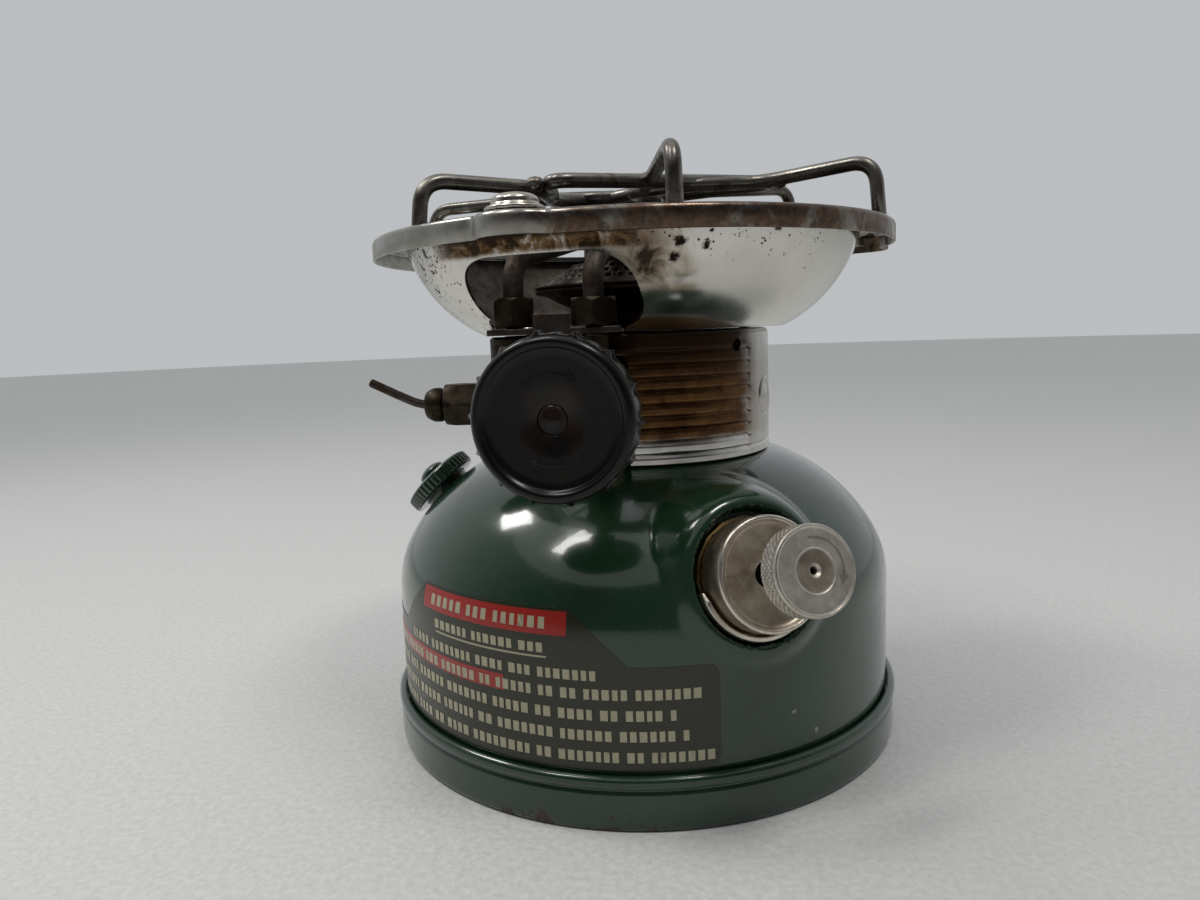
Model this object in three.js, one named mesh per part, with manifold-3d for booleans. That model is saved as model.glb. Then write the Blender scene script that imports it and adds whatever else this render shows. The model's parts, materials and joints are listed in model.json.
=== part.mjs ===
// A single-burner pressure stove for camping: a pump-fed fuel tank (the fount) with a valve, a looped
// vapour pipe over the burner, a wind bowl and a welded wire pot support.
// Millimetres, +Z up. The origin is on the ground, under the middle of the stove's overall outline.

import * as THREE from 'three';
import { mergeVertices } from 'three/addons/utils/BufferGeometryUtils.js';
import Module from 'manifold-3d';

const wasm = await Module();
wasm.setup();

const DEG = Math.PI / 180;
const GAP = 0.3; // clearance between pieces that touch
const ROUND = 36; // sides of the large turned pieces
const SMALL = 12; // sides of the small turned pieces
const OVERCUT = 2; // how far a cutting tool runs past what it cuts

// The fount's axis in the overall frame: the pump knob and the valve wheel reach out towards -Y.
const FOUNT_AXIS = new THREE.Vector3(-1.4, 7.1, 0);

// Fount and base
const BASE_RADIUS = 71;
const BASE_HEIGHT = 10.2;
const FOUNT_RADIUS = 68.95;
const FOUNT_WALL = 1.2;
const PAN_HEIGHT = 8.3;
const SHOULDER_START = 41.2; // height where the straight wall ends
const SHOULDER_TURN = 30.5 * DEG; // where the tight shoulder arc meets the wide one
const SHOULDER_TIGHT = 25.6;
const SHOULDER_WIDE = 47.4;

// Collar, bowl and rim
const COLLAR_RADIUS = 37.5;
const COLLAR_WALL = 1.0;
const COLLAR_BOTTOM = 76.2;
const COLLAR_TOP = 109;
const BOWL_WALL = 0.8;
const BOWL_FLOOR = COLLAR_TOP + GAP;
const BOWL_ARC = { r: 25.9, z: 143, radius: 37.2 };
const RIM_RADIUS = 70.2;
const RIM_TOP = 134.8;
const RIM_DEPTH = 5.2;
const RIM_WALL = 0.8;
const RIM_INNER = 58.5;
const RIM_LOBE_AZIMUTHS = [-111, 9, 129];
const RIM_LOBE = { centre: 65, radius: 9.5 };

// Pot support
const WIRE_RADIUS = 1.8;
const LEG_CIRCLE = 66.6;
const LEG_FOOT = 131.6;
const SUPPORT_LEAN = { rise: 1.9, x: 0.0326, y: 0.0347 };

// Valve assembly
const VALVE = new THREE.Vector3(-9.5, -33, 92.5); // where the inlet column meets the valve spindle
const SPINDLE_AIM = new THREE.Vector3(-0.164, -0.986, 0).normalize();
const TOWER = new THREE.Vector3(-29.6, -30, 92.5); // column under the jet end of the vapour pipe
const JET_AIM = new THREE.Vector3(0.73, 0.684, 0).normalize();
const JET_HEIGHT = 99.8;
const TOWER_TOP = 109;
const COLUMN_RADIUS = 5.2;
const TOWER_RADIUS = 6.4;
const WHEEL_RADIUS = 18.3;
const WHEEL_FACE = 45.6; // distance of the wheel's face from the inlet column
const WHEEL_RIBS = 14;
const LEVER_WIRE = 1.1;

// Vapour pipe and burner
const PIPE_RADIUS = 2.6;
const PIPE_FRONT = 127.6; // height of the pipe's front bends
const PIPE_BACK = 137; // height of the back bends, above the burner
const PIPE_RUN = 48;
const NUT_SEAT = TOWER_TOP + 2.1;
const PIPE_AIM = new THREE.Vector3(0.35, 0.937, 0).normalize();
const BURNER_RADIUS = 27.4;

// Pump, along its own axis from the middle of the cap's seat
const PUMP_AZIMUTH = -67 * DEG;
const PUMP_RISE = 17 * DEG;
const PUMP_SEAT = { r: 66, z: 55 };
const PUMP_BOSS_RADIUS = 18;
const PUMP_LENGTH = 86;
const PUMP_BORE = 9.6;
const KNOB_FACE = 23; // how far the knob's face stands out with the plunger as drawn
const CUP_TOP = -58; // where the plunger's cup is then

// Filler, along its own axis from the shoulder's surface
const FILLER_AZIMUTH = 172 * DEG;
const FILLER_RISE = 45 * DEG;

const ENAMEL = { color: 0x22382a, roughness: 0.25, metalness: 0.1 };
const NICKEL = { color: 0xc4c2ba, roughness: 0.25, metalness: 1 };
const WORN_NICKEL = { color: 0x8d8578, roughness: 0.4, metalness: 1 };
const BRASS = { color: 0x5b4a2c, roughness: 0.5, metalness: 1 };
const SOOTY_STEEL = { color: 0x2e2a27, roughness: 0.6, metalness: 0.9 };
const BLUED_STEEL = { color: 0x3c3a3a, roughness: 0.35, metalness: 1 };
const BLACK_MOULDING = { color: 0x121212, roughness: 0.35, metalness: 0 };
const LEATHER = { color: 0x4a3322, roughness: 0.8, metalness: 0 };
const GRAPHITE = { color: 0x2a2a2c, roughness: 0.7, metalness: 0.2 };

// ---------------------------------------------------------------- geometry helpers

function signedVolume(geometry) {
  const p = geometry.attributes.position;
  const [a, b, c] = [new THREE.Vector3(), new THREE.Vector3(), new THREE.Vector3()];
  let sum = 0;
  for (let i = 0; i < geometry.index.count; i += 3) {
    a.fromBufferAttribute(p, geometry.index.getX(i));
    b.fromBufferAttribute(p, geometry.index.getX(i + 1));
    c.fromBufferAttribute(p, geometry.index.getX(i + 2));
    sum += a.dot(b.cross(c));
  }
  return sum / 6;
}

// One closed skin: vertices shared, faces of no area dropped, every face pointing out.
function weld(geometry) {
  const bare = new THREE.BufferGeometry();
  bare.setAttribute('position', geometry.getAttribute('position'));
  bare.setIndex(geometry.index);
  const merged = mergeVertices(bare, 1e-4);
  const corners = merged.index.array;
  const kept = [];
  for (let i = 0; i < corners.length; i += 3) {
    const [a, b, c] = corners.slice(i, i + 3);
    if (a !== b && b !== c && c !== a) kept.push(a, b, c);
  }
  merged.setIndex(kept);
  if (signedVolume(merged) < 0) merged.setIndex(kept.reverse());
  return merged;
}

function toSolid(geometry) {
  return new wasm.Manifold(new wasm.Mesh({
    numProp: 3,
    vertProperties: Float32Array.from(geometry.attributes.position.array),
    triVerts: Uint32Array.from(geometry.index.array),
  }));
}

function toGeometry(solid) {
  const mesh = solid.getMesh();
  const geometry = new THREE.BufferGeometry();
  geometry.setAttribute('position', new THREE.BufferAttribute(mesh.vertProperties, 3));
  geometry.setIndex(new THREE.BufferAttribute(mesh.triVerts, 1));
  return geometry;
}

function join(...shapes) {
  return toGeometry(shapes.map(toSolid).reduce((whole, next) => whole.add(next)));
}

function cut(shape, ...tools) {
  return toGeometry(tools.map(toSolid).reduce((rest, tool) => rest.subtract(tool), toSolid(shape)));
}

// A turned solid about Z from [radius, height] points, closed on itself unless it starts on the axis.
function turned(outline, sides = SMALL) {
  const points = outline.map(([r, z]) => new THREE.Vector2(r, z));
  if (outline[0][0] > 0) points.push(points[0].clone());
  return weld(new THREE.LatheGeometry(points, sides).rotateX(Math.PI / 2));
}

function rod(radius, from, to, sides = SMALL) {
  return turned([[0, from], [radius, from], [radius, to], [0, to]], sides);
}

function sleeve(outer, inner, from, to, sides = SMALL) {
  return turned([[inner, from], [outer, from], [outer, to], [inner, to]], sides);
}

function hexagon(acrossFlats, from, to) {
  return rod(acrossFlats / Math.sqrt(3), from, to, 6);
}

// A bar of rectangular section from x0 to x1, y0 to y1, z0 to z1.
function block([x0, x1], [y0, y1], [z0, z1]) {
  const box = new THREE.BoxGeometry(x1 - x0, y1 - y0, z1 - z0);
  return weld(box.translate((x0 + x1) / 2, (y0 + y1) / 2, (z0 + z1) / 2));
}

function moved(geometry, x, y, z) {
  return geometry.clone().translate(x, y, z);
}

// The same geometry with its own +Z turned to a direction and its own origin moved to a place.
function aimed(geometry, place, direction) {
  const turn = new THREE.Quaternion().setFromUnitVectors(new THREE.Vector3(0, 0, 1), direction);
  return geometry.clone().applyQuaternion(turn).translate(place.x, place.y, place.z);
}

// Copies of a geometry evenly spaced about Z.
function ringOf(geometry, count) {
  return Array.from({ length: count }, (_, i) => geometry.clone().rotateZ(2 * Math.PI * i / count));
}

function polar(radius, azimuth, z) {
  return new THREE.Vector3(radius * Math.cos(azimuth), radius * Math.sin(azimuth), z);
}

function arc(centreR, centreZ, radius, from, to, steps) {
  return Array.from({ length: steps + 1 }, (_, i) => {
    const angle = from + (to - from) * i / steps;
    return [centreR + radius * Math.cos(angle), centreZ + radius * Math.sin(angle)];
  });
}

// A wire's centre line: straight runs joined by round bends, with its steps spent on the bends.
class BentWire extends THREE.Curve {
  constructor(corners, bend, steps = 4) {
    super();
    this.stations = [corners[0]];
    for (let i = 1; i < corners.length - 1; i++) {
      const [before, corner, after] = corners.slice(i - 1, i + 2);
      const start = corner.clone().lerp(before, Math.min(0.48, bend / corner.distanceTo(before)));
      const end = corner.clone().lerp(after, Math.min(0.48, bend / corner.distanceTo(after)));
      this.stations.push(...new THREE.QuadraticBezierCurve3(start, corner, end).getPoints(steps));
    }
    this.stations.push(corners[corners.length - 1]);
  }

  get steps() {
    return this.stations.length - 1;
  }

  getPoint(t) {
    const whole = Math.min(Math.floor(t * this.steps + 1e-6), this.steps - 1);
    return this.stations[whole].clone().lerp(this.stations[whole + 1], t * this.steps - whole);
  }

  getPointAt(u) {
    return this.getPoint(u);
  }

  getTangentAt(u) {
    const station = Math.round(u * this.steps);
    const here = this.stations[station];
    const before = this.stations[station - 1];
    const after = this.stations[station + 1];
    const direction = new THREE.Vector3();
    if (before) direction.add(here.clone().sub(before).normalize());
    if (after) direction.add(after.clone().sub(here).normalize());
    return direction.normalize();
  }
}

function wire(corners, radius, bend, sides = 8, steps = 4) {
  const path = new BentWire(corners, bend, steps);
  const section = new THREE.Shape(Array.from({ length: sides }, (_, i) => {
    const angle = 2 * Math.PI * i / sides;
    return new THREE.Vector2(radius * Math.cos(angle), radius * Math.sin(angle));
  }));
  return weld(new THREE.ExtrudeGeometry(section, { steps: path.steps, extrudePath: path }));
}

// A straight-sided opening with round corners, pointing along a level direction from the fount's axis.
function windowTool(azimuth, halfWidth, [low, high], [near, far], corner) {
  const shape = new THREE.Shape();
  shape.moveTo(-halfWidth + corner, low);
  shape.lineTo(halfWidth - corner, low);
  shape.absarc(halfWidth - corner, low + corner, corner, -Math.PI / 2, 0);
  shape.absarc(halfWidth - corner, high - corner, corner, 0, Math.PI / 2);
  shape.absarc(-halfWidth + corner, high - corner, corner, Math.PI / 2, Math.PI);
  shape.absarc(-halfWidth + corner, low + corner, corner, Math.PI, 1.5 * Math.PI);
  const straight = { depth: far - near, bevelEnabled: false, curveSegments: 4 };
  const tool = new THREE.ExtrudeGeometry(shape, straight);
  tool.translate(0, 0, near).rotateX(Math.PI / 2).rotateZ(azimuth + Math.PI / 2);
  return weld(tool);
}

function part(name, geometry, finish) {
  const mesh = new THREE.Mesh(geometry, new THREE.MeshStandardMaterial(finish));
  mesh.name = name;
  mesh.geometry.computeVertexNormals();
  return mesh;
}

// A group whose own +Z points along a direction from a place.
function assembly(place, direction, ...members) {
  const group = new THREE.Group();
  group.position.copy(place);
  group.quaternion.setFromUnitVectors(new THREE.Vector3(0, 0, 1), direction);
  group.add(...members);
  return group;
}

// ---------------------------------------------------------------- places shared by several pieces

const PUMP_PLACE = polar(PUMP_SEAT.r, PUMP_AZIMUTH, PUMP_SEAT.z);
const PUMP_AIM = polar(Math.cos(PUMP_RISE), PUMP_AZIMUTH, Math.sin(PUMP_RISE));

// The wide arc's centre follows from the tight one, because the two arcs are tangent.
const TIGHT_CENTRE = { r: FOUNT_RADIUS - SHOULDER_TIGHT, z: SHOULDER_START };
const WIDE_CENTRE = {
  r: TIGHT_CENTRE.r + (SHOULDER_TIGHT - SHOULDER_WIDE) * Math.cos(SHOULDER_TURN),
  z: TIGHT_CENTRE.z + (SHOULDER_TIGHT - SHOULDER_WIDE) * Math.sin(SHOULDER_TURN),
};
const FILLER_PLACE = polar(
  WIDE_CENTRE.r + SHOULDER_WIDE * Math.cos(FILLER_RISE),
  FILLER_AZIMUTH,
  WIDE_CENTRE.z + SHOULDER_WIDE * Math.sin(FILLER_RISE),
);
const FILLER_AIM = polar(Math.cos(FILLER_RISE), FILLER_AZIMUTH, Math.sin(FILLER_RISE));
const JET_PLACE = new THREE.Vector3(TOWER.x, TOWER.y, JET_HEIGHT);
const LEVER_AIM = new THREE.Vector3(-1, 0, 0);

// ---------------------------------------------------------------- fount

// The dome's solid shape, drawn in by an inset so that two of them leave a wall.
function domeSolid(inset, bottom) {
  return turned([
    [0, bottom],
    [FOUNT_RADIUS - inset, bottom],
    ...arc(TIGHT_CENTRE.r, TIGHT_CENTRE.z, SHOULDER_TIGHT - inset, 0, SHOULDER_TURN, 3),
    ...arc(WIDE_CENTRE.r, WIDE_CENTRE.z, SHOULDER_WIDE - inset, SHOULDER_TURN, Math.PI / 2, 4).slice(1),
    [0, WIDE_CENTRE.z + SHOULDER_WIDE - inset],
  ], ROUND);
}

function fountShell() {
  const bossDepth = -30;
  const seat = -4;
  const boss = aimed(rod(PUMP_BOSS_RADIUS, bossDepth, 0, 24), PUMP_PLACE, PUMP_AIM);
  const hollow = rod(PUMP_BOSS_RADIUS - 3, bossDepth - OVERCUT, seat - FOUNT_WALL, 16);
  const bossHollow = aimed(hollow, PUMP_PLACE, PUMP_AIM);
  const bossRecess = aimed(rod(PUMP_BOSS_RADIUS - 2, seat, 14, 24), PUMP_PLACE, PUMP_AIM);
  const pumpHole = aimed(rod(11, seat - 6, 4, 16), PUMP_PLACE, PUMP_AIM);
  const fillerHole = aimed(rod(7.8, -8, 8), FILLER_PLACE, FILLER_AIM);
  const bungHole = moved(rod(8, 60, 90), VALVE.x, VALVE.y, 0);
  const outside = join(domeSolid(0, PAN_HEIGHT + GAP), boss);
  const inside = join(domeSolid(FOUNT_WALL, PAN_HEIGHT - OVERCUT), bossHollow);
  return cut(outside, inside, bossRecess, pumpHole, fillerHole, bungHole);
}

function fountBase() {
  const inner = FOUNT_RADIUS + GAP + 0.2;
  return turned([
    [0, PAN_HEIGHT - FOUNT_WALL],
    [BASE_RADIUS - 1.2, PAN_HEIGHT - FOUNT_WALL],
    [BASE_RADIUS - 1.2, 1.2],
    [BASE_RADIUS - 4, 1.2],
    [BASE_RADIUS - 4, 0],
    [BASE_RADIUS, 0],
    [BASE_RADIUS, BASE_HEIGHT],
    [BASE_RADIUS - 0.4, BASE_HEIGHT + 1.4],
    [inner, BASE_HEIGHT + 2.2],
    [inner, PAN_HEIGHT],
    [0, PAN_HEIGHT],
  ], ROUND);
}

function fount() {
  return [
    part('fount_shell', fountShell(), ENAMEL),
    part('fount_base', fountBase(), ENAMEL),
    part('valve_bung', moved(sleeve(7.6, 5.5, 66, 82.2), VALVE.x, VALVE.y, 0), BRASS),
  ];
}

// ---------------------------------------------------------------- filler

function fillerCap() {
  return turned([
    [7.6, 1.2], [11, 1.2], [11.2, 5.2], [9.6, 6.2], [3.2, 6.6], [3.2, 5.1], [8.2, 5.1],
  ], 20);
}

function filler() {
  const neck = turned([[6.0, -6], [7.3, -6], [7.3, 4.2], [6.0, 4.2]]);
  const screw = turned([[0, 4.6], [2.9, 4.6], [2.9, 6.9], [4.2, 6.9], [3.6, 8.2], [1.8, 9], [0, 9.1]]);
  const slot = block([-5, 5], [-0.5, 0.5], [8.3, 10]);
  return assembly(
    FILLER_PLACE,
    FILLER_AIM,
    part('filler_neck', neck, BRASS),
    part('filler_cap_gasket', sleeve(7.9, 3.3, 4.5, 4.8), GRAPHITE),
    part('filler_cap', fillerCap(), ENAMEL),
    part('filler_cap_screw', cut(screw, slot), ENAMEL),
  );
}

// ---------------------------------------------------------------- pump

function pumpCylinder() {
  const end = -PUMP_LENGTH;
  const wall = 0.8;
  return turned([
    [3.2, end],
    [PUMP_BORE + wall, end],
    [PUMP_BORE + wall, -3.6],
    [13.6, -3.6],
    [13.6, -2.6],
    [PUMP_BORE, -2.6],
    [PUMP_BORE, end + 2],
    [3.2, end + 2],
  ], 16);
}

// The open spring ring that holds the cylinder's flange in its seat.
function pumpClip() {
  const [start, end] = [62 * DEG, 212 * DEG]; // its opening, at the upper left
  const wedge = new THREE.Shape();
  wedge.moveTo(0, 0);
  wedge.absarc(0, 0, 30, start, end);
  const opening = new THREE.ExtrudeGeometry(wedge, { depth: 8, bevelEnabled: false, curveSegments: 8 });
  return cut(sleeve(14.7, 13.3, -2.3, 1, 20), weld(opening.translate(0, 0, -5)));
}

function pumpCap() {
  return turned([
    [2.9, 3.4], [8.8, 3.4], [8.8, -4.8], [9.3, -4.8], [9.3, 3.4], [12, 3.4], [12, -2.2], [12.8, -2.2],
    [12.8, 5.4], [12.3, 6.5], [11.5, 6.3], [10.6, 5.1], [2.9, 4.5],
  ], 20);
}

function pumpKnob() {
  return turned([
    [2.4, KNOB_FACE - 8.2],
    [5.2, KNOB_FACE - 8.2],
    [8.6, KNOB_FACE - 5.6],
    [9.4, KNOB_FACE - 5.2],
    [9.4, KNOB_FACE - 0.7],
    [8.7, KNOB_FACE],
    [0.8, KNOB_FACE],
    [0.8, KNOB_FACE - 2],
    [2.4, KNOB_FACE - 2],
  ], 20);
}

function pump() {
  const seat = -PUMP_LENGTH + 2 + GAP; // just inside the cylinder's end wall
  const cup = turned([
    [2.6, CUP_TOP - 1.4], [9.0, CUP_TOP - 5.9], [9.4, CUP_TOP - 5.9], [9.4, CUP_TOP], [2.6, CUP_TOP],
  ]);
  const cupNut = sleeve(4.6, 2.9, CUP_TOP - 5.2, CUP_TOP - 3.2, 6);
  const checkBody = turned([
    [0, seat - 9], [2.9, seat - 9], [2.9, seat - GAP], [4.4, seat - GAP + 0.1], [4.4, seat + 5],
    [1.9, seat + 5], [1.9, seat - 5.4], [0, seat - 5.4],
  ]);
  const ball = new THREE.SphereGeometry(1.4, 8, 6);
  return assembly(
    PUMP_PLACE,
    PUMP_AIM,
    part('pump_cylinder', pumpCylinder(), BRASS),
    part('pump_cap_clip', pumpClip(), WORN_NICKEL),
    part('pump_cap', pumpCap(), WORN_NICKEL),
    part('pump_rod', sleeve(2.2, 1.4, CUP_TOP - 5.6, KNOB_FACE - 2.2, 12), NICKEL),
    part('pump_knob', pumpKnob(), WORN_NICKEL),
    part('pump_cup', cup, LEATHER),
    part('pump_cup_nut', cupNut, BRASS),
    part('air_stem', rod(1.0, seat + 0.6, 6.5, 10), NICKEL),
    part('check_valve_body', checkBody, BRASS),
    part('check_valve_ball', weld(moved(ball, 0, 0, seat - 3.8)), NICKEL),
  );
}

// ---------------------------------------------------------------- valve, lever and jet

function valveBody() {
  const toTower = VALVE.x - TOWER.x;
  const column = moved(rod(COLUMN_RADIUS, 71, TOWER_TOP), VALVE.x, VALVE.y, 0);
  const shoulder = moved(hexagon(15, 82.5, 86.5), VALVE.x, VALVE.y, 0);
  const spindleBoss = aimed(rod(6, 0, 17), VALVE, SPINDLE_AIM);
  const arm = aimed(rod(5.5, 0, toTower + 6.2), new THREE.Vector3(VALVE.x, TOWER.y, VALVE.z), LEVER_AIM);
  const tower = moved(rod(TOWER_RADIUS, 87, TOWER_TOP), TOWER.x, TOWER.y, 0);
  const columnBore = moved(rod(2.2, 78, TOWER_TOP + OVERCUT, 12), VALVE.x, VALVE.y, 0);
  const pickupSocket = moved(rod(3.3, 69, 78, 12), VALVE.x, VALVE.y, 0);
  const spindleBore = aimed(rod(3.5, 4, 19, 12), VALVE, SPINDLE_AIM);
  const leverBore = aimed(rod(3.5, -3, 9, 12), TOWER, LEVER_AIM);
  const towerBore = moved(rod(3.3, VALVE.z, TOWER_TOP + OVERCUT, 12), TOWER.x, TOWER.y, 0);
  const jetBore = aimed(rod(1.9, 0, 12, 12), JET_PLACE, JET_AIM);
  return cut(
    join(column, shoulder, spindleBoss, arm, tower),
    columnBore, pickupSocket, spindleBore, leverBore, towerBore, jetBore,
  );
}

function valveWheel() {
  const face = WHEEL_FACE;
  const back = face - 8.6;
  const hub = face - 15.1;
  const disc = turned([
    [2.4, hub], [5.2, hub], [5.6, back + 0.6], [15.4, back], [17.2, back + 2], [17.2, face - 1.8],
    [15.4, face], [13.8, face - 1], [3.2, face - 1.7], [3.2, face - 3.2], [2.4, face - 3.2],
  ], 2 * WHEEL_RIBS);
  const rib = moved(turned([
    [0, back + 1.4], [1.5, back + 2.2], [1.5, face - 2.2], [0, face - 1.4],
  ], 6), WHEEL_RADIUS - 1.5, 0, 0);
  return join(disc, ...ringOf(rib, WHEEL_RIBS));
}

function valve() {
  const packingNut = cut(
    join(hexagon(12, 17.3, 25), rod(4.9, 24.5, 28)),
    rod(2.4, 16, 30, 12),
  );
  const end = WHEEL_FACE - 2.7;
  const stem = turned([[0, 4.6], [1.2, 7.5], [2, 8.5], [2, end], [0, end]], 12);
  const screw = turned([[0, end + GAP], [2.8, end + GAP], [2.4, end + 1.4], [0, end + 1.8]], 12);
  return assembly(
    VALVE,
    SPINDLE_AIM,
    part('valve_stem', stem, BRASS),
    part('valve_packing', sleeve(3.2, 2.3, 12.8, 17, 12), GRAPHITE),
    part('valve_packing_nut', packingNut, BRASS),
    part('valve_wheel', valveWheel(), BLACK_MOULDING),
    part('valve_wheel_screw', screw, BLACK_MOULDING),
  );
}

// The lever's shaft turns in the arm beside the tower, and its off-centre pin works the jet's needle.
function lever() {
  const shaft = join(rod(2, 3.4, 17.4, 12), moved(rod(0.8, -0.9, 4, 8), 0, 0.8, 0));
  const packingNut = cut(
    turned([[0, 6.6], [5.6, 6.6], [5.9, 7.4], [5.9, 16.2], [4.9, 18.6], [0, 18.6]], 6),
    rod(2.4, 5, 20, 12),
  );
  const gland = turned([[1.5, 18.9], [3.9, 18.9], [4.3, 20], [4.1, 22.4], [2.9, 23.9], [1.5, 23.9]]);
  const handle = [[0, 17.8], [0, 24.6], [6.1, 37.4]].map(([up, out]) => new THREE.Vector3(up, 0, out));
  return assembly(
    TOWER,
    LEVER_AIM,
    part('lever_shaft', shaft, BRASS),
    part('lever_packing_nut', packingNut, BRASS),
    part('lever_gland_nut', gland, BRASS),
    part('lighting_lever', wire(handle, LEVER_WIRE, 5), SOOTY_STEEL),
  );
}

function jet() {
  const nose = turned([[0, 10.2], [2.2, 10.2], [1.3, 12.6], [0, 12.6]], 12);
  const outside = join(rod(1.6, 4, 8, 12), hexagon(5.6, 7.8, 10.4), nose);
  const bore = rod(0.8, 2, 11.6, 8);
  const orifice = rod(0.5, 11, 14, 6);
  const down = new THREE.Vector3(JET_AIM.x, JET_AIM.y, 0); // this turns to -Z with the assembly
  const carriage = aimed(rod(1.3, -1.1, 4.6, 10), new THREE.Vector3(), down);
  const needle = rod(0.35, 0.5, 11.2, 8);
  return assembly(
    JET_PLACE,
    JET_AIM,
    part('gas_tip', cut(outside, bore, orifice), BRASS),
    part('cleaning_needle', join(carriage, needle), SOOTY_STEEL),
  );
}

function fuelPickup() {
  const cage = turned([[0, 10.4], [4.2, 10.4], [4.2, 18], [3.4, 18], [3.4, 11.4], [0, 11.4]], 12);
  return [
    part('fuel_pickup_tube', moved(sleeve(3, 2.2, 13, 77.5, 12), VALVE.x, VALVE.y, 0), BRASS),
    part('pickup_strainer', moved(cage, VALVE.x, VALVE.y, 0), BRASS),
  ];
}

// ---------------------------------------------------------------- vapour pipe and burner

function vapourPipe() {
  const start = TOWER_TOP + 2.4;
  const far = PIPE_AIM.clone().multiplyScalar(PIPE_RUN);
  const at = (base, z) => new THREE.Vector3(base.x, base.y, z);
  return wire([
    at(VALVE, start),
    at(VALVE, PIPE_FRONT),
    at(VALVE, PIPE_BACK).add(far),
    at(TOWER, PIPE_BACK).add(far),
    at(TOWER, PIPE_FRONT),
    at(TOWER, start),
  ], PIPE_RADIUS, 7, 8, 5);
}

function pipeNut(acrossFlats, height) {
  const bore = rod(PIPE_RADIUS + GAP, NUT_SEAT - OVERCUT, NUT_SEAT + height + OVERCUT, 12);
  return cut(hexagon(acrossFlats, NUT_SEAT, NUT_SEAT + height), bore);
}

// The plate across the tops of the two columns, with a tab turned up at its front.
function pipeBracket() {
  const from = TOWER_TOP + GAP;
  const plate = block([-35.5, -3], [-38, -25], [from, from + 1.5]);
  const tab = block([-24, -15], [-38, -36.8], [from + 0.5, from + 5]);
  const bore = rod(3.2, from - 1, from + 3, 12);
  return cut(join(plate, tab), moved(bore, VALVE.x, VALVE.y, 0), moved(bore, TOWER.x, TOWER.y, 0));
}

function mixingTube() {
  const mouth = JET_PLACE.clone().add(JET_AIM.clone().multiplyScalar(17));
  const corner = new THREE.Vector3(0, 0, JET_HEIGHT);
  const top = new THREE.Vector3(0, 0, 115.8);
  const past = (end) => end.clone().add(end.clone().sub(corner).setLength(OVERCUT));
  return cut(
    wire([mouth, corner, top], 6, 9, 8),
    wire([past(mouth), corner, past(top)], 5.2, 9, 8),
  );
}

function burnerUpper() {
  const [lower, upper] = [121.3, 127.8];
  const ports = 6;
  const cone = turned([
    [BURNER_RADIUS, lower], [BURNER_RADIUS, lower + 0.8], [25, lower + 0.8], [16.5, upper],
    [11, upper], [11, upper - 0.8], [16, upper - 0.8], [24.4, lower],
  ], 24);
  const squareToCone = new THREE.Vector3(0.54, 0, 0.84).normalize();
  const port = aimed(rod(0.9, -3, 3, 6), new THREE.Vector3(20, 0, 125.6), squareToCone);
  return cut(cone, ...ringOf(port, ports));
}

function burner() {
  const lower = turned([
    [6.4, 110.4], [10, 110.4], [7.4, 111.4], [7.4, 115], [18, 116], [24.4, 119.6],
    [BURNER_RADIUS, 120.2], [BURNER_RADIUS, 121], [24, 120.6], [17.6, 116.9], [6.4, 115.9],
  ], 24);
  const screw = turned([[0, 119.6], [1.8, 119.6], [1.8, 129.1], [3.4, 129.1], [2.6, 130.3], [0, 130.3]]);
  return [
    part('burner_lower_half', lower, SOOTY_STEEL),
    part('burner_upper_half', burnerUpper(), SOOTY_STEEL),
    part('burner_cap', sleeve(13, 2.1, 128.1, 128.8, 20), SOOTY_STEEL),
    part('burner_cap_screw', screw, SOOTY_STEEL),
    part('mixing_tube', mixingTube(), SOOTY_STEEL),
    part('vapour_pipe', vapourPipe(), SOOTY_STEEL),
    part('vapour_pipe_inlet_nut', moved(pipeNut(11, 6.8), VALVE.x, VALVE.y, 0), BRASS),
    part('vapour_pipe_jet_nut', moved(pipeNut(9.2, 7.4), TOWER.x, TOWER.y, 0), BRASS),
    part('vapour_pipe_bracket', pipeBracket(), SOOTY_STEEL),
  ];
}

// ---------------------------------------------------------------- collar, bowl, rim and pot support

const SCREW_AZIMUTHS = [10, 85, 160];
const SCREW_CIRCLE = 32.6;

function screwHoles(radius, from, to) {
  return SCREW_AZIMUTHS.map((azimuth) => {
    const place = polar(SCREW_CIRCLE, azimuth * DEG, 0);
    return moved(rod(radius, from, to, 8), place.x, place.y, 0);
  });
}

function collar() {
  const inner = COLLAR_RADIUS - COLLAR_WALL - 0.4;
  const body = turned([
    [inner, COLLAR_BOTTOM], [COLLAR_RADIUS, COLLAR_BOTTOM], [COLLAR_RADIUS, COLLAR_TOP],
    [29, COLLAR_TOP], [29, COLLAR_TOP - 1], [inner, COLLAR_TOP - 1],
  ], ROUND);
  const valveWindow = windowTool(-122 * DEG, 18.5, [COLLAR_BOTTOM - 12, 104], [14, 44], 4);
  const columnHole = moved(rod(COLUMN_RADIUS + 0.5, 103, COLLAR_TOP + OVERCUT), VALVE.x, VALVE.y, 0);
  const towerHole = moved(rod(TOWER_RADIUS + 0.5, 103, COLLAR_TOP + OVERCUT), TOWER.x, TOWER.y, 0);
  const vents = [-46, 0, 44, 88, 132].map((azimuth) => {
    return aimed(rod(1.6, 30, 42, 8), new THREE.Vector3(0, 0, 104.9), polar(1, azimuth * DEG, 0));
  });
  const holes = [columnHole, towerHole, ...vents, ...screwHoles(1.9, COLLAR_TOP - 3, COLLAR_TOP + 1)];
  return cut(body, valveWindow, ...holes);
}

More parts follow.
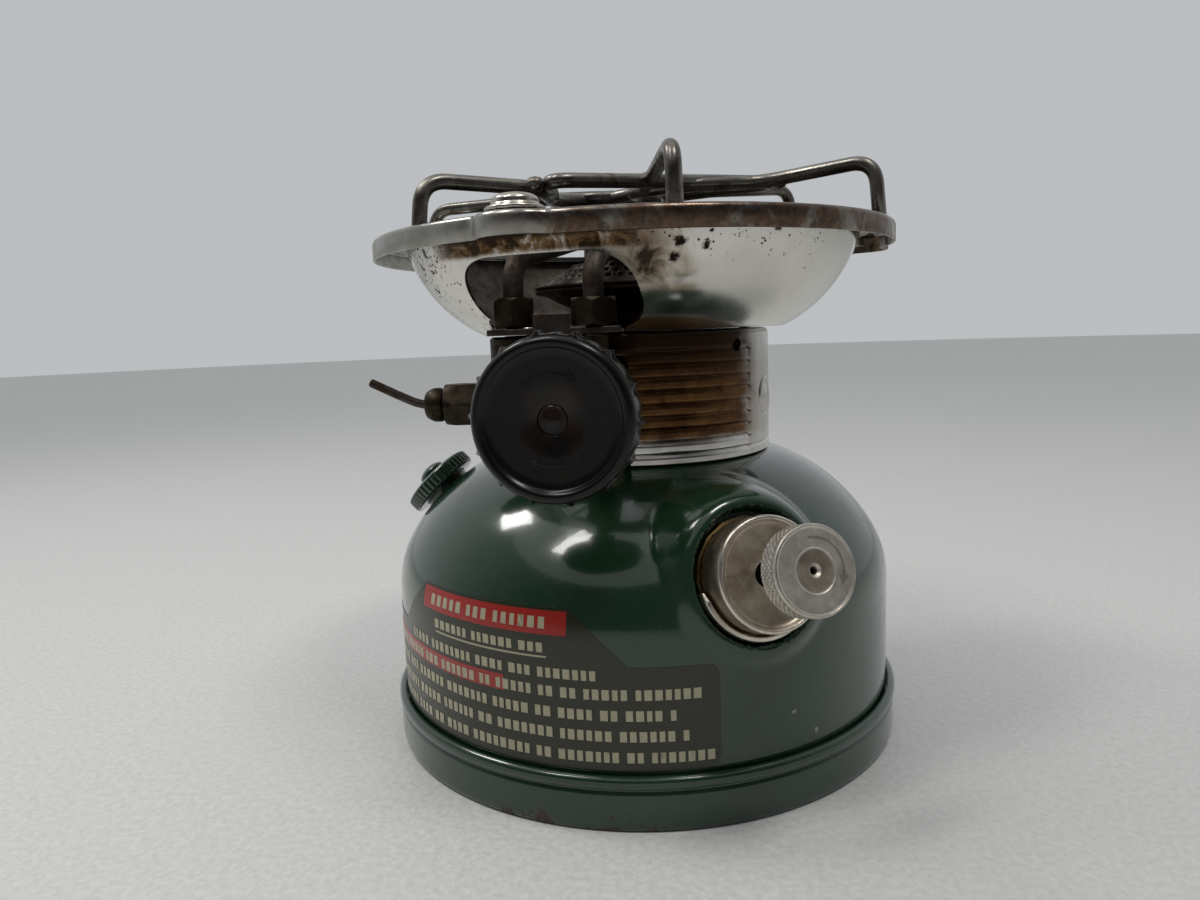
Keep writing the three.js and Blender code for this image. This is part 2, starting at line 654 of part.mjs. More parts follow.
function bowl() {
  const wallTop = 133.6;
  const flange = 64.2;
  const angleAt = (z, radius) => Math.asin((z - BOWL_ARC.z) / radius);
  const inside = BOWL_ARC.radius - BOWL_WALL;
  const outer = arc(BOWL_ARC.r, BOWL_ARC.z, BOWL_ARC.radius,
    angleAt(BOWL_FLOOR, BOWL_ARC.radius), angleAt(wallTop - BOWL_WALL, BOWL_ARC.radius), 4);
  const inner = arc(BOWL_ARC.r, BOWL_ARC.z, inside,
    angleAt(wallTop, inside), angleAt(BOWL_FLOOR + BOWL_WALL, inside), 4);
  const body = turned([
    [8, BOWL_FLOOR], ...outer, [flange, wallTop - BOWL_WALL],
    [flange, wallTop], ...inner, [8, BOWL_FLOOR + BOWL_WALL],
  ], ROUND);
  const valveWindow = windowTool(-112 * DEG, 21.8, [BOWL_FLOOR + 0.9, 127], [20, 70], 8);
  const bracketSlot = block([-36.2, -2.3], [-48, -24.4], [BOWL_FLOOR - OVERCUT, BOWL_FLOOR + 2.1]);
  const towerHole = moved(rod(TOWER_RADIUS, BOWL_FLOOR - OVERCUT, BOWL_FLOOR + 11), TOWER.x, TOWER.y, 0);
  const holes = screwHoles(1.9, BOWL_FLOOR - 1, BOWL_FLOOR + 2);
  return cut(body, valveWindow, bracketSlot, towerHole, ...holes);
}

function rimBlank(grow, from, to) {
  const lobes = RIM_LOBE_AZIMUTHS.map((azimuth) => {
    const place = polar(RIM_LOBE.centre, azimuth * DEG, 0);
    return moved(rod(RIM_LOBE.radius + grow, from, to, 16), place.x, place.y, 0);
  });
  return join(rod(RIM_RADIUS + grow, from, to, ROUND), ...lobes);
}

function legHoles() {
  return legAzimuths().map((azimuth) => {
    const place = polar(LEG_CIRCLE, azimuth, 0);
    return moved(rod(WIRE_RADIUS + 0.6, RIM_TOP - 3, RIM_TOP + 1, 8), place.x, place.y, 0);
  });
}

function rim() {
  const studHoles = RIM_LOBE_AZIMUTHS.map((azimuth) => {
    const place = polar(LEG_CIRCLE, azimuth * DEG, 0);
    return moved(rod(1.8, RIM_TOP - 3, RIM_TOP + 1, 6), place.x, place.y, 0);
  });
  return cut(
    rimBlank(0, RIM_TOP - RIM_DEPTH, RIM_TOP),
    rimBlank(-RIM_WALL, RIM_TOP - RIM_DEPTH - 1, RIM_TOP - RIM_WALL),
    rod(RIM_INNER, RIM_TOP - 3, RIM_TOP + 1, ROUND),
    ...studHoles,
    ...legHoles(),
  );
}

// One of the three wires: up out of the rim, across to the middle, round it and back down into the rim.
function supportWireCorners(turn) {
  const height = 147.2;
  const corners = [
    polar(LEG_CIRCLE, -82 * DEG, LEG_FOOT),
    polar(LEG_CIRCLE - 1.6, -82 * DEG, height),
    new THREE.Vector3(6, -26, height - 1),
    new THREE.Vector3(3.5, -6, height - 2.6),
    new THREE.Vector3(-9, 5, height - 2.9),
    new THREE.Vector3(-21, -4, height - 2.9),
    new THREE.Vector3(-22, -28, height - 2.4),
    polar(LEG_CIRCLE - 1.6, -137 * DEG, height - 0.6),
    polar(LEG_CIRCLE, -137 * DEG, LEG_FOOT),
  ];
  const around = new THREE.Vector3(0, 0, 1);
  return corners.map((corner) => raised(corner.applyAxisAngle(around, turn * DEG)));
}

// The support stands a little higher at the back and the right than at the front and the left.
function raised(point) {
  if (point.z > RIM_TOP) {
    point.z += SUPPORT_LEAN.rise + SUPPORT_LEAN.x * point.x + SUPPORT_LEAN.y * point.y;
  }
  return point;
}

function legAzimuths() {
  return [0, 120, 240].flatMap((turn) => [(-82 + turn) * DEG, (-137 + turn) * DEG]);
}

function potSupport() {
  const wires = [0, 120, 240].map((turn) => wire(supportWireCorners(turn), WIRE_RADIUS, 6, 6, 2));
  const reach = 42;
  const level = 145.3;
  const corner = (azimuth) => raised(polar(reach, azimuth * DEG, level));
  const middle = corner(-117).lerp(corner(3), 0.5);
  const start = middle.clone().lerp(corner(3), -0.02);
  const end = middle.clone().lerp(corner(3), 0.02);
  const triangle = wire([end, corner(3), corner(123), corner(-117), start], WIRE_RADIUS, 7, 6, 3);
  const closerEnds = [-0.3, 0.3].map((share) => middle.clone().lerp(corner(3), share));
  const closer = wire(closerEnds, WIRE_RADIUS, 1, 6);
  return join(...wires, triangle, closer);
}

function rimNut() {
  return turned([
    [0, 131], [1.5, 131], [1.5, RIM_TOP + GAP], [6.4, RIM_TOP + GAP], [6.4, RIM_TOP + 1.2],
    [5.1, RIM_TOP + 1.7], [4.7, RIM_TOP + 2.9], [3.2, RIM_TOP + 3.7], [0, RIM_TOP + 4.1],
  ]);
}

function bowlScrew() {
  const seat = BOWL_FLOOR + BOWL_WALL + GAP;
  return turned([[0, 104.5], [1.6, 104.5], [1.6, seat], [3.4, seat], [2.9, seat + 1.6], [0, seat + 2]]);
}

function top() {
  const nuts = RIM_LOBE_AZIMUTHS.map((azimuth, i) => {
    const nut = part(`rim_nut_${i + 1}`, rimNut(), NICKEL);
    nut.position.copy(polar(LEG_CIRCLE, azimuth * DEG, 0));
    return nut;
  });
  const screws = SCREW_AZIMUTHS.map((azimuth, i) => {
    const screw = part(`bowl_screw_${i + 1}`, bowlScrew(), NICKEL);
    screw.position.copy(polar(SCREW_CIRCLE, azimuth * DEG, 0));
    return screw;
  });
  return [
    part('collar', collar(), NICKEL),
    part('wind_bowl', bowl(), NICKEL),
    part('rim_ring', rim(), WORN_NICKEL),
    part('pot_support', potSupport(), BLUED_STEEL),
    ...nuts,
    ...screws,
  ];
}

// ---------------------------------------------------------------- the stove

const stove = new THREE.Group();
stove.position.copy(FOUNT_AXIS);
stove.add(
  ...fount(),
  filler(),
  pump(),
  part('valve_body', valveBody(), BRASS),
  valve(),
  lever(),
  jet(),
  ...fuelPickup(),
  ...burner(),
  ...top(),
);

export default stove;
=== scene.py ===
"""A single-burner camp stove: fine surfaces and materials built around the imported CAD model."""

import json
import math
import random
from collections import Counter

import bmesh
import bpy
import numpy as np
from mathutils import Matrix, Vector


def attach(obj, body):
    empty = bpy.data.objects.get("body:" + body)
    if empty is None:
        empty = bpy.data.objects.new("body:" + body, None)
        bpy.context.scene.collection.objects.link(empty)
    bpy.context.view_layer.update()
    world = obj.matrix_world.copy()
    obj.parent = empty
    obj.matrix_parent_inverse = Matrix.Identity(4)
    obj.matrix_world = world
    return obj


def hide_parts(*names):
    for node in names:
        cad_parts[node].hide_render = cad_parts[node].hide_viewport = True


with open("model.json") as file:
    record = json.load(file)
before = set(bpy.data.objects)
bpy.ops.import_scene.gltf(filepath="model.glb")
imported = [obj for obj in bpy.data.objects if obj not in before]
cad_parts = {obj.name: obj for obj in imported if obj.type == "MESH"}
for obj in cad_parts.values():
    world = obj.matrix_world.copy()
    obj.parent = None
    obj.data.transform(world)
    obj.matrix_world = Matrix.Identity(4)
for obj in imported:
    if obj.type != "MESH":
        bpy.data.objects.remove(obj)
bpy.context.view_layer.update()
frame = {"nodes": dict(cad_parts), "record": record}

# ---------------------------------------------------------------- dimensions, in millimetres

MM = 0.001
FOUNT_AXIS = Vector((-1.4, 7.1, 0))
STOVE = Matrix.Scale(MM, 4) @ Matrix.Translation(FOUNT_AXIS)
REST = Matrix.Identity(4)

BASE_RADIUS = 71.0
FOUNT_RADIUS = 68.95
FOUNT_WALL = 1.2
FOUNT_BOTTOM = 8.6
TIGHT = dict(r=43.35, z=41.2, radius=25.6)
WIDE = dict(r=24.567, z=30.136, radius=47.4)
SHOULDER_TURN = 30.5
COLLAR_RADIUS = 37.5
COLLAR_BOTTOM = 76.2
COLLAR_TOP = 109.0
COLLAR_GROOVES = (78.6, 81.7, 85.0, 88.0, 91.1, 94.5, 97.6, 100.9, 104.2)
BOWL_FLOOR = 109.3
BOWL_WALL = 0.8
BOWL_ARC = dict(r=25.9, z=143.0, radius=37.2)
RIM_RADIUS = 70.2
RIM_TOP = 134.8
RIM_DEPTH = 5.2
RIM_INNER = 58.5
RIM_STEPS = 720
LOBE_AZIMUTHS = (-111, 9, 129)
LEG_CIRCLE = 66.6
LEG_TURNS = (-82, -137)
THIRDS = (0, 120, 240)
WIRE_RADIUS = 1.8
SUPPORT_HEIGHT = 147.2
LEAN_RISE = 1.9
LEAN_X = 0.0326
LEAN_Y = 0.0347

VALVE = Vector((-9.5, -33, 92.5))
SPINDLE_AIM = Vector((-0.164, -0.986, 0)).normalized()
TOWER = Vector((-29.6, -30, 92.5))
LEVER_AIM = Vector((-1, 0, 0))
TOWER_TOP = 109.0
WHEEL_FACE = 45.6
WHEEL_RIBS = 14
PIPE_RADIUS = 2.6
PIPE_FRONT = 127.6
PIPE_BACK = 137.0
PIPE_RUN = Vector((0.35, 0.937, 0)).normalized() * 48
PORTS = 46
KNOB_FACE = 23.0
LABEL_MIDDLE = -122.7

PUMP_AZIMUTH = -67
PUMP_SLOPE = math.radians(17)
FILLER_AZIMUTH = 172
FILLER_SLOPE = math.radians(45)


def polar(radius, azimuth, z=0.0):
    turn = math.radians(azimuth)
    return Vector((radius * math.cos(turn), radius * math.sin(turn), z))


def aimed(place, direction):
    """The frame at a place whose own +Z points along a direction."""
    turn = Vector((0, 0, 1)).rotation_difference(Vector(direction).normalized())
    return Matrix.Translation(place) @ turn.to_matrix().to_4x4()


PUMP_AIM = polar(math.cos(PUMP_SLOPE), PUMP_AZIMUTH, math.sin(PUMP_SLOPE))
PUMP_PLACE = polar(66, PUMP_AZIMUTH, 55)
PUMP = aimed(PUMP_PLACE, PUMP_AIM)
FILLER_AIM = polar(math.cos(FILLER_SLOPE), FILLER_AZIMUTH, math.sin(FILLER_SLOPE))
FILLER_PLACE = polar(WIDE["r"] + WIDE["radius"] * math.cos(FILLER_SLOPE), FILLER_AZIMUTH,
                     WIDE["z"] + WIDE["radius"] * math.sin(FILLER_SLOPE))
FILLER = aimed(FILLER_PLACE, FILLER_AIM)
SPINDLE = aimed(VALVE, SPINDLE_AIM)
LEVER = aimed(TOWER, LEVER_AIM)
SCREWS = [polar(32.6, azimuth) for azimuth in (10, 85, 160)]


# ---------------------------------------------------------------- material building

class Look:
    """A Principled material put together from small calls. Places are in the object's own frame."""

    def __init__(self, name, roughness=0.4, metallic=0.0, coat=0.0, coat_roughness=0.05):
        self.material = bpy.data.materials.new(name)
        self.material.use_nodes = True
        self.tree = self.material.node_tree
        self.shader = self.tree.nodes["Principled BSDF"]
        self.shader.inputs["Metallic"].default_value = metallic
        self.shader.inputs["Roughness"].default_value = roughness
        self.shader.inputs["Coat Weight"].default_value = coat
        self.shader.inputs["Coat Roughness"].default_value = coat_roughness
        self.place = self.add("ShaderNodeTexCoord").outputs["Object"]
        self.xyz = None

    def add(self, kind, **settings):
        node = self.tree.nodes.new(kind)
        for key, value in settings.items():
            setattr(node, key, value)
        return node

    def feed(self, socket, value):
        if isinstance(value, bpy.types.NodeSocket):
            self.tree.links.new(value, socket)
        else:
            socket.default_value = value

    def set(self, name, value):
        self.feed(self.shader.inputs[name], value)

    def stretched(self, sx, sy, sz):
        node = self.add("ShaderNodeMapping")
        self.feed(node.inputs["Vector"], self.place)
        node.inputs["Scale"].default_value = (sx, sy, sz)
        return node.outputs["Vector"]

    def noise(self, size, detail=3.0, roughness=0.5, distortion=0.0, at=None):
        """Cloudy noise whose patches are about that many millimetres across, from 0 to 1."""
        node = self.add("ShaderNodeTexNoise")
        self.feed(node.inputs["Vector"], self.place if at is None else at)
        node.inputs["Scale"].default_value = 1000.0 / size
        node.inputs["Detail"].default_value = detail
        node.inputs["Roughness"].default_value = roughness
        node.inputs["Distortion"].default_value = distortion
        return node.outputs["Fac"]

    def cells(self, size):
        """Distance to the nearest of points strewn about that many millimetres apart."""
        node = self.add("ShaderNodeTexVoronoi")
        self.feed(node.inputs["Vector"], self.place)
        node.inputs["Scale"].default_value = 1000.0 / size
        return node.outputs["Distance"]

    def math(self, operation, a, b=0.0):
        node = self.add("ShaderNodeMath", operation=operation)
        self.feed(node.inputs[0], a)
        self.feed(node.inputs[1], b)
        return node.outputs[0]

    def times(self, a, b):
        return self.math("MULTIPLY", a, b)

    def plus(self, a, b):
        return self.math("ADD", a, b)

    def minus(self, a, b):
        return self.math("SUBTRACT", a, b)

    def swing(self, noise, width):
        """A noise from 0 to 1 made to swing about 0 over that width."""
        return self.times(self.minus(noise, 0.5), width)

    def step(self, value, low, high, start=0.0, end=1.0):
        """start below low, end above high, and smooth between."""
        node = self.add("ShaderNodeMapRange", interpolation_type="SMOOTHSTEP")
        self.feed(node.inputs["Value"], value)
        for key, number in zip(("From Min", "From Max", "To Min", "To Max"), (low, high, start, end)):
            node.inputs[key].default_value = number
        return node.outputs["Result"]

    def mix(self, factor, a, b):
        node = self.add("ShaderNodeMix", data_type="RGBA")
        self.feed(node.inputs[0], factor)
        self.feed(node.inputs[6], a if isinstance(a, bpy.types.NodeSocket) else (*a, 1))
        self.feed(node.inputs[7], b if isinstance(b, bpy.types.NodeSocket) else (*b, 1))
        return node.outputs[2]

    def bump(self, height, depth, normal=None, strength=1.0):
        """depth is in millimetres."""
        node = self.add("ShaderNodeBump")
        self.feed(node.inputs["Height"], height)
        node.inputs["Strength"].default_value = strength
        node.inputs["Distance"].default_value = depth * MM
        if normal is not None:
            self.feed(node.inputs["Normal"], normal)
        return node.outputs["Normal"]

    def axes(self):
        """x, y and z in millimetres from the fount's axis."""
        if self.xyz is None:
            split = self.add("ShaderNodeSeparateXYZ")
            self.feed(split.inputs[0], self.place)
            moved = [self.math("MULTIPLY_ADD", s, 1000.0) for s in split.outputs]
            for socket, shift in zip(moved, FOUNT_AXIS):
                socket.node.inputs[2].default_value = -shift
            self.xyz = moved
        return self.xyz

    def height(self):
        return self.axes()[2]

    def azimuth(self, middle=-90.0):
        """Degrees round the fount's axis, counted from a middle direction, from -180 to 180."""
        x, y, _ = self.axes()
        turn = math.radians(middle)
        along = self.plus(self.times(x, math.cos(turn)), self.times(y, math.sin(turn)))
        across = self.minus(self.times(y, math.cos(turn)), self.times(x, math.sin(turn)))
        return self.times(self.math("ARCTAN2", across, along), 180 / math.pi)

    def near(self, point, inner, outer, wobble=None):
        """1 within inner millimetres of a point in the fount's frame, 0 beyond outer."""
        node = self.add("ShaderNodeVectorMath", operation="DISTANCE")
        self.feed(node.inputs[0], self.place)
        node.inputs[1].default_value = (FOUNT_AXIS + Vector(point)) * MM
        distance = self.times(node.outputs["Value"], 1000.0)
        if wobble is not None:
            distance = self.plus(distance, wobble)
        return self.step(distance, inner, outer, 1.0, 0.0)

    def both(self, *masks):
        total = masks[0]
        for mask in masks[1:]:
            total = self.times(total, mask)
        return total

    def either(self, *masks):
        total = masks[0]
        for mask in masks[1:]:
            total = self.math("MAXIMUM", total, mask)
        return total


RUST = (0.045, 0.020, 0.010)
DARK_RUST = (0.014, 0.009, 0.007)
BROWN_STAIN = (0.085, 0.05, 0.028)
ENAMEL_COAT = 0.60


def worn_hem(look, low):
    """Bare metal at the skirt's foot: a bite at the front and a thin ragged line all round."""
    ragged = look.noise(7, 5, 0.72)
    at_front = look.step(look.math("ABSOLUTE", look.azimuth(-104)), 12, 20, 1.0, 0.0)
    bite = look.times(look.step(ragged, 0.44, 0.66), 4.6)
    line = look.times(look.step(ragged, 0.54, 0.74), 2.4)
    return look.either(look.both(at_front, look.step(look.minus(bite, low), 0.0, 0.6)),
                       look.step(look.minus(line, low), 0.0, 0.5))


def enamel_chips(look):
    """Small chips, each at a radius, azimuth and height, bare to an inner size and gone at an outer one."""
    wobble = look.swing(look.noise(1.5, 4, 0.7), 3.0)
    return look.either(look.near(polar(69.1, -54.8, 16.2), 0.55, 0.85, wobble),
                       look.near(polar(69.1, -60.5, 22.4), 0.25, 0.5, wobble),
                       look.near(polar(66.5, 20, 52), 0.7, 1.0, wobble),
                       look.near(polar(71, 150, 7), 1.0, 1.5, wobble))


def enamel_look(name, chipped):
    look = Look(name, coat=ENAMEL_COAT, coat_roughness=0.055)
    tone = look.step(look.noise(38, 2), 0.35, 0.65)
    colour = look.mix(tone, (0.0085, 0.034, 0.0155), (0.012, 0.041, 0.0190))
    dust = look.step(look.noise(1.6, 4, 0.7), 0.60, 0.80)
    film = look.step(look.noise(16, 4, 0.6, 0.6), 0.48, 0.72)
    colour = look.mix(look.times(dust, 0.10), colour, (0.20, 0.20, 0.17))
    rough = look.step(film, 0, 1, 0.16, 0.30)
    normal = look.bump(look.noise(2.6, 2), 0.035, strength=0.35)
    if chipped:
        low = look.height()
        bare = worn_hem(look, low)
        chips = enamel_chips(look)
        colour = look.mix(bare, colour, look.mix(look.noise(1.2, 4, 0.7), RUST, (0.10, 0.085, 0.07)))
        colour = look.mix(chips, colour, (0.34, 0.33, 0.29))
        grime = look.both(look.step(low, 12.2, 13.0), look.step(low, 13.1, 15.5, 1.0, 0.0),
                          look.step(look.noise(5, 4, 0.6), 0.35, 0.7))
        colour = look.mix(look.times(grime, 0.6), colour, (0.012, 0.012, 0.009))
        damage = look.either(bare, chips)
        rough = look.math("MAXIMUM", rough, look.times(damage, 0.75))
        look.set("Coat Weight", look.minus(ENAMEL_COAT, look.times(damage, ENAMEL_COAT)))
        normal = look.bump(look.minus(1.0, damage), 0.12, normal)
    look.set("Base Color", colour)
    look.set("Roughness", rough)
    look.set("Normal", normal)
    look.set("Coat Normal", normal)
    return look.material


def pits(look, share, size):
    """Round rust pits about that many millimetres wide where share allows, and the stain round them."""
    cell = look.cells(size)
    gate = look.noise(size * 3.1, 3, 0.6)
    reach = look.times(look.minus(gate, look.minus(1.0, share)), 1.2)
    depth = look.minus(reach, cell)
    return look.step(depth, -0.03, 0.05), look.step(depth, -0.22, 0.05)


def plated(look, colour, rough, *layers, depth=0.03):
    """Finishes a plated surface with layers of pits, each a (share, size), and fine polishing marks."""
    found = [pits(look, *layer) for layer in layers]
    pitted = look.either(*[pit for pit, _ in found])
    stained = look.either(*[ring for _, ring in found])
    colour = look.mix(look.times(stained, 0.45), colour, (0.20, 0.13, 0.075))
    look.set("Base Color", look.mix(pitted, colour, DARK_RUST))
    look.set("Roughness", look.math("MAXIMUM", rough, look.times(pitted, 0.8)))
    look.set("Metallic", look.minus(1.0, look.times(pitted, 0.75)))
    grain = look.bump(look.noise(0.7, 2), 0.006, strength=0.5)
    look.set("Normal", look.bump(look.minus(1.0, pitted), depth, grain))


def bowl_spots(look):
    """The larger single rust spots, by azimuth, height, radius and size."""
    jagged = look.swing(look.noise(1.3, 3, 0.7), 3.2)
    spots = ((-80, 128.2, 60.0, 1.7), (-80.8, 125.0, 58.5, 1.6), (-74.3, 127.1, 59.5, 1.4),
             (-58.1, 130.8, 61.1, 1.2), (-152, 127.0, 59.4, 1.3), (-146, 130.0, 60.6, 1.5))
    return look.either(*[look.near(polar(radius, azimuth, height), size * 0.45, size, jagged)
                         for azimuth, height, radius, size in spots])


def bowl_pits(look, front, z):
    """How thick coarse and fine pits lie: mostly left of the window, less to the right."""
    left = look.both(look.step(front, -26, -20, 1.0, 0.0), look.step(front, -85, -60, 0.2, 1.0))
    left = look.both(left, look.step(z, 112, 128, 0.75, 1.0))
    right = look.both(look.step(front, 14, 24), look.step(front, 60, 95, 1.0, 0.3))
    right = look.both(right, look.step(z, 119, 130, 0.25, 1.0))
    coarse = look.plus(0.26, look.plus(look.times(left, 0.30), look.times(right, 0.26)))
    fine = look.plus(0.29, look.plus(look.times(left, 0.38), look.times(right, 0.31)))
    return (coarse, 2.3), (fine, 1.1)


def bowl_look():
    """Plating with rust, and with heat stains and soot over the window and at its right corner."""
    look = Look("bowl_plating", metallic=1.0)
    z = look.height()
    front = look.azimuth(-112)
    cloud = look.noise(6, 5, 0.68, 0.8)
    wobble = look.swing(cloud, 16.0)
    tone = look.step(look.noise(22, 4, 0.6, 0.4), 0.35, 0.7)
    colour = look.mix(tone, (0.70, 0.685, 0.64), (0.60, 0.585, 0.54))
    corner = (3.0, -58.0, 124.8)
    haze = look.near(corner, 3, 13, wobble)
    colour = look.mix(look.times(haze, 0.8), colour, (0.26, 0.19, 0.115))
    over_window = look.both(look.step(look.math("ABSOLUTE", front), 19, 33, 1.0, 0.0),
                            look.step(z, 126.6, 128.0))
    colour = look.mix(look.both(over_window, look.step(cloud, 0.28, 0.5)), colour, (0.15, 0.09, 0.040))
    under_rim = look.both(look.step(z, 130.0, 133.0), look.step(cloud, 0.44, 0.62))
    colour = look.mix(look.times(under_rim, 0.75), colour, (0.12, 0.075, 0.04))
    ragged_height = look.plus(z, look.times(wobble, 0.25))
    soot = look.either(look.near(corner, 1.0, 5.5, wobble),
                       look.both(over_window, look.step(cloud, 0.50, 0.60)),
                       look.both(over_window, look.step(ragged_height, 129.5, 131)))
    colour = look.mix(look.times(soot, 0.93), colour, (0.022, 0.015, 0.010))
    colour = look.mix(bowl_spots(look), colour, DARK_RUST)
    dirty = look.either(haze, over_window, soot)
    rough = look.math("MAXIMUM", look.step(look.noise(12, 4, 0.6), 0.35, 0.7, 0.12, 0.22),
                      look.times(dirty, 0.44))
    plated(look, colour, rough, *bowl_pits(look, front, z), depth=0.05)
    return look.material


def collar_look():
    """Plating burnt brown by heat, but for a silver band at the foot and the side."""
    look = Look("collar_plating", metallic=1.0)
    z = look.height()
    turn = look.azimuth(-60)
    cloud = look.noise(8, 4, 0.6, 0.7)
    ragged = look.swing(cloud, 22.0)
    colour = look.mix(look.step(cloud, 0.35, 0.7), (0.62, 0.60, 0.56), (0.50, 0.48, 0.44))
    heat = look.both(look.step(look.plus(turn, ragged), 14, 32, 1.0, 0.12),
                     look.step(look.plus(z, look.times(ragged, 0.10)), 80.6, 83.4),
                     look.step(turn, -175, -120, 0.3, 1.0))
    brown = look.mix(look.step(look.noise(5, 5, 0.65, 0.5), 0.3, 0.7),
                     (0.17, 0.085, 0.035), (0.075, 0.037, 0.016))
    brown = look.mix(look.step(z, 92, 106), brown, (0.03, 0.017, 0.01))
    colour = look.mix(heat, colour, brown)
    rough = look.step(heat, 0, 1, 0.20, 0.34)
    plated(look, colour, rough, (look.step(heat, 0, 1, 0.32, 0.42), 1.3))
    return look.material


def rim_look():
    """Plating with a patchy brown from heat on the right, rust at one place, and a rubbed top edge."""
    look = Look("rim_plating", metallic=1.0)
    turn = look.azimuth(-90)
    cloud = look.noise(10, 5, 0.65, 0.6)
    fine = look.noise(2.2, 4, 0.7)
    colour = look.mix(look.step(cloud, 0.35, 0.7), (0.30, 0.29, 0.26), (0.40, 0.39, 0.36))
    heat = look.both(look.step(look.plus(turn, look.swing(cloud, 30)), -22, -10),
                     look.step(cloud, 0.30, 0.52))
    brown = look.mix(look.step(fine, 0.35, 0.7), (0.13, 0.075, 0.045), (0.045, 0.026, 0.018))
    colour = look.mix(look.times(heat, 0.92), colour, brown)
    rust_at = look.both(look.step(turn, 66, 74), look.step(turn, 84, 92, 1.0, 0.0),
                        look.step(fine, 0.40, 0.58))
    colour = look.mix(rust_at, colour, DARK_RUST)
    shine = look.step(look.height(), 133.4, 134.3)
    rough = look.step(look.noise(4, 4, 0.6), 0.3, 0.7, 0.24, 0.42)
    rough = look.minus(rough, look.times(shine, 0.10))
    plated(look, colour, rough, (look.step(heat, 0, 1, 0.30, 0.42), 1.4))
    return look.material


def metal_look(name, light, dark, stain, rough, patch=9, stain_share=(0.5, 0.75), specks=0.32,
               speck_size=1.2, grain=None):
    """Plated or bare metal with two tones, cloudy stains and small pits."""
    look = Look(name, metallic=1.0)
    cloud = look.noise(patch, 4, 0.62, 0.5)
    colour = look.mix(look.step(cloud, 0.3, 0.7), light, dark)
    marks = look.step(look.noise(patch * 0.55, 5, 0.7, 0.6), *stain_share)
    colour = look.mix(look.times(marks, 0.9), colour, stain)
    roughness = look.step(look.noise(patch * 0.4, 4, 0.6), 0.3, 0.7, *rough)
    roughness = look.plus(roughness, look.times(marks, 0.14))
    plated(look, colour, roughness, (specks, speck_size))
    if grain:
        size, depth = grain
        look.set("Normal", look.bump(look.noise(size, 4, 0.7), depth))
    return look.material


def moulding_look():
    look = Look("black_moulding", coat=0.10, coat_roughness=0.10)
    look.set("Specular IOR Level", 0.24)
    worn = look.step(look.noise(9, 5, 0.65, 0.5), 0.5, 0.78)
    scratch = look.step(look.noise(0.5, 3, 0.6, 0, look.stretched(1, 1, 0.12)), 0.62, 0.78)
    colour = look.mix(worn, (0.0042, 0.0040, 0.0034), (0.0085, 0.0068, 0.0052))
    brown = look.both(look.near(VALVE + SPINDLE_AIM * WHEEL_FACE, 2, 11),
                      look.step(look.noise(6, 4), 0.35, 0.65))
    colour = look.mix(brown, colour, (0.022, 0.011, 0.007))
    look.set("Base Color", look.mix(look.times(scratch, 0.25), colour, (0.06, 0.055, 0.05)))
    look.set("Roughness", look.step(worn, 0, 1, 0.24, 0.40))
    look.set("Normal", look.bump(look.noise(0.8, 3, 0.6), 0.012, strength=0.5))
    return look.material


def print_look(name, colour, worn_to, wear=(0.62, 0.78)):
    """Screen-printed paint, rubbed through in patches."""
    look = Look(name, coat=0.15, coat_roughness=0.12)
    rubbed = look.step(look.noise(5, 5, 0.7, 0.5), *wear)
    fine = look.noise(0.6, 3, 0.6)
    tone = look.mix(look.step(fine, 0.3, 0.75), colour, tuple(c * 0.82 for c in colour))
    look.set("Base Color", look.mix(rubbed, tone, worn_to))
    look.set("Roughness", look.step(fine, 0.3, 0.7, 0.22, 0.34))
    look.set("Normal", look.bump(fine, 0.01, strength=0.4))
    return look.material


def soft_look(name, colour, darker, size, rough):
    """Leather or packing, with a grain of about that many millimetres."""
    look = Look(name)
    grain = look.noise(size, 5, 0.65)
    look.set("Base Color", look.mix(look.step(grain, 0.3, 0.7), colour, darker))
    look.set("Roughness", look.step(grain, 0.3, 0.7, rough, rough + 0.12))
    look.set("Normal", look.bump(look.cells(size * 0.7), 0.05))
    return look.material


def floor_look():
    look = Look("foam_sheet", roughness=0.55)
    grain = look.noise(1.7, 4, 0.7)
    look.set("Base Color", look.mix(look.step(grain, 0.3, 0.7), (0.60, 0.60, 0.585), (0.70, 0.70, 0.685)))
    look.set("Roughness", look.step(grain, 0.35, 0.65, 0.42, 0.60))
    look.set("Normal", look.bump(look.cells(2.4), 0.35, look.bump(grain, 0.25, strength=0.6), 0.5))
    return look.material


